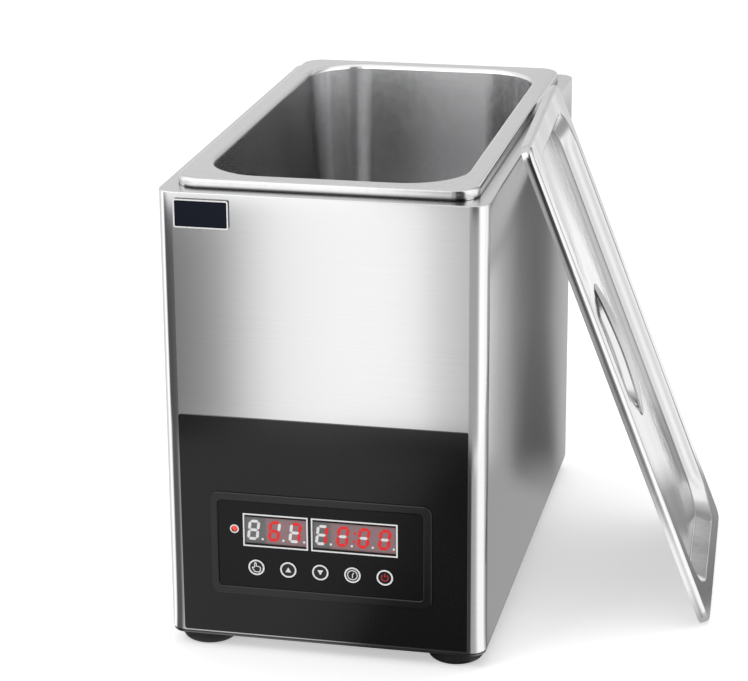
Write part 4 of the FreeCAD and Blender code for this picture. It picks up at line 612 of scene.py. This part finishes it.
def display_face():
    """The grey front of the digit modules, with a painted pink glow where digits are lit beside it."""
    made = Finish("display_grey", DISPLAY_GREY, DISPLAY_ROUGHNESS)
    across = made.parts(made.place())["X"]
    lit = [
        ranged(made.tree, across, (first - GLOW_EDGE, first + GLOW_EDGE), RISING, "SMOOTHSTEP")
        for first in LIT_FROM
    ]
    gap = ranged(made.tree, across, (LIT_UNTIL - GLOW_EDGE, LIT_UNTIL + GLOW_EDGE), FALLING)
    share = computed(made.tree, "MAXIMUM", computed(made.tree, "MULTIPLY", lit[0], gap), lit[1])
    cloud = made.noise(made.place(), DISPLAY_CLOUDS)
    grey = made.mix(made.spread(cloud), *shades(DISPLAY_GREY, DISPLAY_CONTRAST))
    # Painted glow from the lit digits on the grey face.
    made.colour_by(share, grey, DISPLAY_PAINTED_GLOW)
    made.roughness_by(cloud, *DISPLAY_ROUGHNESS_RANGE)
    return made.material


# The record's material slots, by how their finish is made.
GRAINED_SLOTS = {
    "navy_enamel": dict(
        colour=(0.005, 0.007, 0.016), roughness=0.28, scale=900.0, depth=4e-6, Specular_IOR_Level=0.1),
    "rubber": dict(
        colour=(0.012, 0.012, 0.012), roughness=0.75, scale=1500.0, depth=4e-5, contrast=0.25),
    "seal_rubber": dict(colour=(0.30, 0.05, 0.03), roughness=0.6, scale=1200.0, depth=3e-5),
    "mineral_wool": dict(
        colour=(0.56, 0.47, 0.27), roughness=0.95, scale=260.0, depth=0.0012, contrast=0.3),
    "phenolic": dict(colour=(0.022, 0.017, 0.013), roughness=0.5, scale=900.0, depth=2e-5),
    "black_sheet": dict(
        colour=(0.0085, 0.0085, 0.0095), roughness=0.12, scale=700.0, depth=4e-6, contrast=0.3,
        Specular_IOR_Level=0.36),
    "black_plastic": dict(
        colour=(0.008, 0.008, 0.009), roughness=0.24, scale=1400.0, depth=4e-6, contrast=0.2),
    "black_nylon": dict(colour=(0.018, 0.018, 0.018), roughness=0.48, scale=1200.0, depth=2e-5),
    "black_film": dict(
        colour=(0.008, 0.008, 0.009), roughness=0.22, scale=800.0, depth=3e-6, contrast=0.2,
        Specular_IOR_Level=0.2),
    "key_black": dict(colour=(0.004, 0.004, 0.005), roughness=0.22, scale=1400.0, depth=4e-6),
    "unlit_segment": dict(
        colour=(0.93, 0.92, 0.92), roughness=0.3, scale=2400.0, depth=4e-6, contrast=0.05),
    "circuit_board": dict(
        colour=(0.012, 0.085, 0.03), roughness=0.4, scale=600.0, depth=2e-5, contrast=0.35),
    "relay_blue": dict(colour=(0.02, 0.08, 0.28), roughness=0.4, scale=900.0, depth=1e-5),
}
BRUSHED_SLOTS = {
    "zinc_steel": dict(colour=(0.55, 0.56, 0.58), roughness=0.34, grain=EVEN_GRAIN),
    "element_sheath": dict(colour=(0.36, 0.33, 0.30), roughness=0.32, grain=(90.0, 90.0, 90.0)),
    "brass": dict(colour=(0.72, 0.50, 0.20), roughness=0.28, grain=(60.0, 60.0, 900.0)),
    "iron_core": dict(colour=(0.16, 0.14, 0.13), roughness=0.5, grain=(1500.0, 20.0, 20.0)),
    "aluminium": dict(colour=(0.66, 0.67, 0.68), roughness=0.36, grain=(20.0, 700.0, 20.0)),
}
GLOWING_SLOTS = {
    "lit_red": dict(light=(1.0, 0.006, 0.008), strength=0.62, body=(0.20, 0.006, 0.006)),
    "lamp_red": dict(light=(1.0, 0.06, 0.035), strength=0.8, body=(0.5, 0.04, 0.03)),
}
OTHER_SLOTS = {"stainless": wrap_steel, "bright_trim": plate_trim, "display_grey": display_face}

# Steel pieces with a finish of their own, whatever their slot.
TRAY_COLOUR = (0.15, 0.15, 0.155)
WELL_SHADE = 0.92
# The strap's steel is painted darker than the lid's, as painted shade.
STRAP_PAINTED_SHADE = 0.62
NODE_FINISHES = {
    "base_tray": lambda: brushed("tray_steel", TRAY_COLOUR, roughness=0.36, grain=EVEN_GRAIN),
    "top_deck": lambda: brushed("stainless_deck", STEEL, roughness=0.24, grain=ALONG_Y, contrast=0.03),
    "gn_pan": pan_steel,
    "inner_well": lambda: brushed(
        "stainless_well", shade(STEEL, WELL_SHADE), roughness=0.26, grain=ALONG_Y),
    "lid_shell": lambda: lid_steel("stainless_lid", STEEL, roughness=0.13),
    "lid_handle": lambda: lid_steel("stainless_strap", shade(STEEL, STRAP_PAINTED_SHADE), roughness=0.2),
}


def slot_finish(slot):
    """A new material for one of the record's material slots."""
    for make, slots in ((grained, GRAINED_SLOTS), (brushed, BRUSHED_SLOTS), (glowing, GLOWING_SLOTS)):
        if slot in slots:
            return make(slot, **slots[slot])
    return OTHER_SLOTS[slot]()


def finish_nodes():
    """Every CAD node keeps its mesh and gets a finish of its own, or that of its slot."""
    slot_materials = {}
    for name, node in NODES.items():
        slot = node.material_slots[0].material.name.split(".")[0]
        if name in NODE_FINISHES:
            material = NODE_FINISHES[name]()
        else:
            if slot not in slot_materials:
                slot_materials[slot] = slot_finish(slot)
            material = slot_materials[slot]
        for holder in node.material_slots:
            holder.material = material


# ---- prints: thin closed pieces on the film and the keys ------------------------------------------

PRINT_THICKNESS = 0.04 * MM
WHITE_INK = (0.95, 0.95, 0.95)
RED_INK = (0.42, 0.014, 0.020)
INK = dict(roughness=0.45, scale=1800.0, depth=4e-6)
WHITE_INK_CONTRAST = 0.05
RED_INK_CONTRAST = 0.08

KEYS = ("key_set", "key_up", "key_down", "key_timer", "key_power")
KEY_RING = 4.45 * MM
KEY_RING_WIDTH = 0.95 * MM
ICON_LINE = 0.55 * MM
CLOCK_RING = 2.9 * MM
POWER_RING = 2.0 * MM
POWER_LINE = 0.85 * MM
# The degrees between which the power key's arc runs.
POWER_ARC = (40.0, 320.0)
ARC_STEPS = 40
FRAME_LINE = 0.9 * MM
LAMP_RING_WIDTH = 0.75 * MM

# A fist with one finger up, a clock's hands and a short bar: (x, z) in millimetres from the key's middle.
HAND = (
    (-1.1, 0.2), (-1.1, 2.5), (-0.85, 2.95), (-0.35, 2.95), (-0.1, 2.5), (-0.1, 0.9), (2.0, 0.45),
    (2.5, 0.0), (2.3, -1.9), (1.7, -2.8), (-0.9, -2.8), (-1.6, -1.9), (-2.5, -0.4), (-2.3, 0.1),
    (-1.8, 0.0),
)
CLOCK_HANDS = ((0.0, -1.9), (0.0, 0.3), (0.75, 1.5))
POWER_BAR = ((0.0, 0.2), (0.0, 2.6))
# An arrow head that points up, in units of ARROW_SIZE.
ARROW = ((-1.0, -0.85), (1.0, -0.85), (0.0, 0.95))
ARROW_SIZE = 1.75 * MM


def from_bmesh(name, mesh, material):
    """A mesh object with one material."""
    data = bpy.data.meshes.new(name)
    mesh.to_mesh(data)
    mesh.free()
    data.materials.append(material)
    piece = bpy.data.objects.new(name, data)
    bpy.context.scene.collection.objects.link(piece)
    return piece


def prism(name, left, right, closed, face, material):
    """A flat closed strip between two rows of (x, z) points.

    It stands PRINT_THICKNESS proud of a face at Y = face.
    """
    mesh = bmesh.new()
    rows = []
    for edge in (left, right):
        for y in (face - PRINT_THICKNESS, face):
            rows.append([mesh.verts.new((x, y, z)) for x, z in edge])
    front_left, back_left, front_right, back_right = rows
    count = len(left)
    for at in range(count if closed else count - 1):
        after = (at + 1) % count
        mesh.faces.new((front_left[at], front_left[after], front_right[after], front_right[at]))
        mesh.faces.new((back_left[after], back_left[at], back_right[at], back_right[after]))
        mesh.faces.new((front_left[after], front_left[at], back_left[at], back_left[after]))
        mesh.faces.new((front_right[at], front_right[after], back_right[after], back_right[at]))
    if not closed:
        mesh.faces.new((front_left[0], front_right[0], back_right[0], back_left[0]))
        mesh.faces.new((front_right[-1], front_left[-1], back_left[-1], back_right[-1]))
    bmesh.ops.recalc_face_normals(mesh, faces=mesh.faces)
    return from_bmesh(name, mesh, material)


def stroke(name, points, width, closed, face, material):
    """A printed line of even width along (x, z) points, with mitred corners."""
    spots = [Vector(point) for point in points]
    count = len(spots)
    left, right = [], []
    for at, spot in enumerate(spots):
        before = spots[at - 1] if closed or at else spot
        after = spots[(at + 1) % count] if closed or at < count - 1 else spot
        normals = [
            Vector((-run.y, run.x)).normalized()
            for run in (spot - before, after - spot)
            if run.length > 0.0
        ]
        mitre = sum(normals, Vector((0.0, 0.0)))
        mitre *= width / 2.0 / mitre.dot(normals[0])
        left.append(spot + mitre)
        right.append(spot - mitre)
    return prism(name, left, right, closed, face, material)


def plate(name, points, face, material):
    """A printed filled shape."""
    mesh = bmesh.new()
    front = mesh.faces.new([mesh.verts.new((x, face - PRINT_THICKNESS, z)) for x, z in points])
    bmesh.ops.extrude_face_region(mesh, geom=[front])
    mesh.verts.ensure_lookup_table()
    for vertex in mesh.verts[: len(points)]:
        vertex.co.y = face
    bmesh.ops.recalc_face_normals(mesh, faces=mesh.faces)
    return from_bmesh(name, mesh, material)


def arc(centre, radius, first=0.0, last=360.0):
    """Points (x, z) along an arc, in degrees clockwise from the top. A full turn leaves out the last."""
    full = abs(last - first) >= 360.0
    turns = [radians(first + (last - first) * at / ARC_STEPS) for at in range(ARC_STEPS + (not full))]
    return [(centre[0] + radius * sin(turn), centre[1] + radius * cos(turn)) for turn in turns]


def moved(points, centre, size):
    """Points (x, z) made larger by a size and moved to a centre."""
    return [(centre[0] + x * size, centre[1] + z * size) for x, z in points]


def key_symbol(key, centre, face, white, red):
    """The pieces of the symbol inside a key's ring."""
    if key == "key_set":
        return [stroke(key + "_hand", moved(HAND, centre, MM), ICON_LINE, True, face, white)]
    if key == "key_timer":
        hands = moved(CLOCK_HANDS, centre, MM)
        return [
            stroke(key + "_dial", arc(centre, CLOCK_RING), ICON_LINE, True, face, white),
            stroke(key + "_hands", hands, ICON_LINE, False, face, white),
        ]
    if key == "key_power":
        bar = moved(POWER_BAR, centre, MM)
        return [
            stroke(key + "_arc", arc(centre, POWER_RING, *POWER_ARC), POWER_LINE, False, face, red),
            stroke(key + "_bar", bar, POWER_LINE, False, face, red),
        ]
    way = 1.0 if key == "key_up" else -1.0
    corners = moved([(x, z * way) for x, z in ARROW], centre, ARROW_SIZE)
    return [plate(key + "_arrow", corners, face, white)]


def print_keys(white, red):
    """Each key's ring and symbol, which move with the key."""
    for key in KEYS:
        spot = middle(key)
        centre = (spot.x, spot.z)
        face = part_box(key)[0].y
        ring = stroke(key + "_ring", arc(centre, KEY_RING), KEY_RING_WIDTH, True, face, white)
        for piece in (ring, *key_symbol(key, centre, face, white, red)):
            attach(piece, key)


def print_film(white):
    """Outlines of the two windows and the ring round the lamp."""
    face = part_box("keypad_film")[0].y
    for window, node in (("temperature", "temperature_display"), ("timer", "timer_display")):
        low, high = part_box(node)
        grow = FRAME_LINE / 2.0
        corners = (
            (low.x - grow, low.z - grow),
            (low.x - grow, high.z + grow),
            (high.x + grow, high.z + grow),
            (high.x + grow, low.z - grow),
        )
        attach(stroke(window + "_outline", corners, FRAME_LINE, True, face, white), "casing")
    low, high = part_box("heating_lamp")
    spot = middle("heating_lamp")
    radius = (high.x - low.x) / 2.0 + LAMP_RING_WIDTH / 2.0
    ring = stroke("lamp_ring", arc((spot.x, spot.z), radius), LAMP_RING_WIDTH, True, face, white)
    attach(ring, "casing")


# ---- stage ---------------------------------------------------------------------------------------


def make_camera():
    """The view that the photograph was taken in."""
    data = bpy.data.cameras.new("camera")
    data.sensor_width = SENSOR_WIDTH
    data.lens = FOCAL_PIXELS * SENSOR_WIDTH / PICTURE_WIDTH
    data.clip_start = CAMERA_NEAR
    data.clip_end = CAMERA_FAR
    look = Vector((
        -sin(CAMERA_AZIMUTH) * cos(CAMERA_ELEVATION),
        cos(CAMERA_AZIMUTH) * cos(CAMERA_ELEVATION),
        -sin(CAMERA_ELEVATION),
    ))
    level = Vector((cos(CAMERA_AZIMUTH), sin(CAMERA_AZIMUTH), 0.0))
    above = level.cross(look)
    side = cos(CAMERA_ROLL) * level + sin(CAMERA_ROLL) * above
    up = cos(CAMERA_ROLL) * above - sin(CAMERA_ROLL) * level
    camera = bpy.data.objects.new("camera", data)
    camera.matrix_world = Matrix.Translation(CAMERA_AT) @ Matrix((side, up, -look)).transposed().to_4x4()
    bpy.context.scene.collection.objects.link(camera)
    bpy.context.scene.camera = camera


def seen_directly(tree):
    """1 for rays that see the background itself: from the camera, in a mirror or through glass."""
    path = tree.nodes.new("ShaderNodeLightPath")
    total = path.outputs["Is Camera Ray"]
    for kind in ("Is Glossy Ray", "Is Transmission Ray"):
        total = computed(tree, "MAXIMUM", total, path.outputs[kind])
    return total


def make_world():
    """White where it is seen directly, and a weaker even light for everything else."""
    world = bpy.data.worlds.new("studio")
    world.use_nodes = True
    tree = world.node_tree
    fill = tree.nodes["Background"]
    fill.inputs["Color"].default_value = WHITE
    fill.inputs["Strength"].default_value = WORLD_FILL
    seen = tree.nodes.new("ShaderNodeBackground")
    seen.inputs["Color"].default_value = WHITE
    seen.inputs["Strength"].default_value = 1.0
    either = tree.nodes.new("ShaderNodeMixShader")
    tree.links.new(seen_directly(tree), either.inputs["Fac"])
    tree.links.new(fill.outputs[0], either.inputs[1])
    tree.links.new(seen.outputs[0], either.inputs[2])
    tree.links.new(either.outputs[0], tree.nodes["World Output"].inputs["Surface"])
    bpy.context.scene.world = world


def bare_material(name):
    """A new material without a shader, and its node tree."""
    material = bpy.data.materials.new(name)
    material.use_nodes = True
    tree = material.node_tree
    tree.nodes.remove(tree.nodes["Principled BSDF"])
    return material, tree


def show(tree, shader):
    """Makes a shader the one that a material shows."""
    tree.links.new(shader.outputs[0], tree.nodes["Material Output"].inputs["Surface"])


def make_floor():
    """A pale floor. The light it is lent shows only where it is seen directly, and its shadow stays."""
    material, tree = bare_material("floor")
    matt = tree.nodes.new("ShaderNodeBsdfDiffuse")
    matt.inputs["Color"].default_value = (FLOOR_COLOUR, FLOOR_COLOUR, FLOOR_COLOUR, 1.0)
    lift = tree.nodes.new("ShaderNodeEmission")
    lent = computed(tree, "MULTIPLY", seen_directly(tree), FLOOR_LIFT)
    tree.links.new(lent, lift.inputs["Strength"])
    both = tree.nodes.new("ShaderNodeAddShader")
    tree.links.new(matt.outputs[0], both.inputs[0])
    tree.links.new(lift.outputs[0], both.inputs[1])
    show(tree, both)
    mesh = bmesh.new()
    bmesh.ops.create_grid(mesh, x_segments=1, y_segments=1, size=FLOOR_SIZE / 2.0)
    from_bmesh("floor", mesh, material)


def azimuth_of(tree, right, back):
    """The angle in radians to a place so far to the right and back: 0 in front, a quarter at the right."""
    ahead = computed(tree, "MULTIPLY", back, -1.0)
    return computed(tree, "ARCTAN2", right, ahead)


def card_levels(tree, place, cards, unit):
    """How bright the cards are at a place, from their (place, level) pairs with places in that unit."""
    first, last = cards[0][0], cards[-1][0]
    levels = tree.nodes.new("ShaderNodeFloatCurve")
    curve = levels.mapping.curves[0]
    spots = [((at - first) / (last - first), level / SURROUND_TOP) for at, level in cards]
    curve.points[0].location = spots[0]
    curve.points[1].location = spots[-1]
    for spot in spots[1:-1]:
        curve.points.new(*spot)
    for point in curve.points:
        point.handle_type = "AUTO_CLAMPED"
    levels.mapping.update()
    share = ranged(tree, place, (first * unit, last * unit), RISING)
    tree.links.new(share, levels.inputs["Value"])
    return levels.outputs["Value"]


def with_strips(tree, spot, level, strength=1.0):
    """The long strips behind at the right, over the level that is there otherwise."""
    across = computed(
        tree, "ADD",
        computed(tree, "MULTIPLY", spot["X"], -cos(STRIP_WAY)),
        computed(tree, "MULTIPLY", spot["Y"], -sin(STRIP_WAY)))
    behind = ranged(tree, azimuth_of(tree, spot["X"], spot["Y"]), STRIP_TURNS, RISING)
    share = computed(tree, "MULTIPLY", behind, strength)
    return blended(tree, share, level, card_levels(tree, across, STRIP_CARDS, MM))


def wall_level(tree, spot):
    """How bright the ring is at a spot: its foot, its lower and its upper row, and the strips."""
    azimuth = azimuth_of(tree, spot["X"], spot["Y"])
    foot, low, high = [
        card_levels(tree, azimuth, cards, DEGREE) for cards in (FOOT_CARDS, LOW_CARDS, HIGH_CARDS)
    ]
    edge = computed(
        tree, "ADD",
        ranged(tree, azimuth, ROW_TURNS, (LOW_ROW_FRONT, LOW_ROW_REAR), "SMOOTHSTEP"),
        ranged(tree, azimuth, REAR_RISE_TURNS, (0.0, REAR_RISE)))
    above = computed(tree, "SUBTRACT", spot["Z"], edge)
    upper = ranged(tree, above, (-ROW_BLEND, ROW_BLEND), RISING, "SMOOTHSTEP")
    lower = ranged(tree, spot["Z"], FOOT_HEIGHT, RISING, "SMOOTHSTEP")
    level = with_strips(tree, spot, blended(tree, lower, foot, low))
    return blended(tree, upper, level, high)


def wall_mesh():
    """The ring of cards."""
    mesh = bmesh.new()
    ring = []
    for at in range(SURROUND_SIDES):
        turn = 2.0 * pi * at / SURROUND_SIDES
        x, y = SURROUND_RADIUS * sin(turn), SURROUND_RADIUS * cos(turn)
        ring.append([mesh.verts.new((x, y, z)) for z in (CARD_LIFT, SURROUND_HEIGHT)])
    for at, (low, high) in enumerate(ring):
        low_after, high_after = ring[(at + 1) % SURROUND_SIDES]
        mesh.faces.new((low, low_after, high_after, high))
    return mesh


def table_level(tree, spot):
    """How bright the disc is at a spot: before the front, round its two corners, and the strips."""
    side = computed(tree, "SUBTRACT", computed(tree, "ABSOLUTE", spot["X"]), CORNER_AT[0])
    behind = computed(tree, "SUBTRACT", spot["Y"], CORNER_AT[1])
    turn = azimuth_of(tree, computed(tree, "MAXIMUM", side, 0.0), behind)
    corners = blended(
        tree, computed(tree, "GREATER_THAN", spot["X"], 0.0),
        card_levels(tree, turn, TABLE_LEFT_CARDS, DEGREE),
        card_levels(tree, turn, TABLE_RIGHT_CARDS, DEGREE))
    front = card_levels(tree, spot["X"], FRONT_CARDS, MM)
    level = blended(tree, ranged(tree, side, (0.0, MM), RISING), front, corners)
    squares = [computed(tree, "POWER", spot[axis], 2.0) for axis in "XY"]
    reach = computed(tree, "SQRT", computed(tree, "ADD", *squares))
    return with_strips(tree, spot, level, ranged(tree, reach, STRIP_REACH, RISING, "SMOOTHSTEP"))


def table_mesh():
    """The disc of cards on the table."""
    mesh = bmesh.new()
    bmesh.ops.create_circle(mesh, cap_ends=True, radius=SURROUND_RADIUS, segments=SURROUND_SIDES)
    bmesh.ops.translate(mesh, verts=mesh.verts, vec=(0.0, 0.0, CARD_LIFT))
    return mesh


def reflected_only(card):
    """Nothing but reflections sees the card."""
    card.visible_camera = False
    card.visible_diffuse = False
    card.visible_transmission = False
    card.visible_shadow = False
    card.visible_volume_scatter = False


def make_card(name, mesh, level_at):
    """A card that only glows. level_at says how brightly, from its tree and the place of a spot on it."""
    material, tree = bare_material(name)
    where = tree.nodes.new("ShaderNodeTexCoord")
    spot = tree.nodes.new("ShaderNodeSeparateXYZ")
    tree.links.new(where.outputs["Object"], spot.inputs[0])
    light = tree.nodes.new("ShaderNodeEmission")
    level = computed(tree, "MULTIPLY", level_at(tree, spot.outputs), SURROUND_TOP)
    tree.links.new(level, light.inputs["Strength"])
    show(tree, light)
    reflected_only(from_bmesh(name, mesh, material))


def soft_box(name, at, aim, size, power, mirrored):
    """A rectangular lamp that faces a spot, seen in reflections or not."""
    data = bpy.data.lights.new(name, "AREA")
    data.shape = "RECTANGLE"
    data.size, data.size_y = size
    data.energy = power
    lamp = bpy.data.objects.new(name, data)
    lamp.location = at
    lamp.rotation_euler = (Vector(aim) - Vector(at)).to_track_quat("-Z", "Y").to_euler()
    lamp.visible_glossy = mirrored
    bpy.context.scene.collection.objects.link(lamp)


def make_stage():
    """Everything that isn't the object: light and dark cards stand as a metal photographer sets them."""
    make_camera()
    make_world()
    make_floor()
    make_card("surround", wall_mesh(), wall_level)
    make_card("table_cards", table_mesh(), table_level)
    soft_box("key", **KEY_LIGHT, mirrored=True)
    soft_box("top", **TOP_LIGHT, mirrored=False)
    bpy.context.scene.view_settings.view_transform = "Standard"


make_stage()
finish_nodes()
white_ink = grained("white_ink", WHITE_INK, contrast=WHITE_INK_CONTRAST, **INK)
red_ink = grained("red_ink", RED_INK, contrast=RED_INK_CONTRAST, **INK)
print_keys(white_ink, red_ink)
print_film(white_ink)
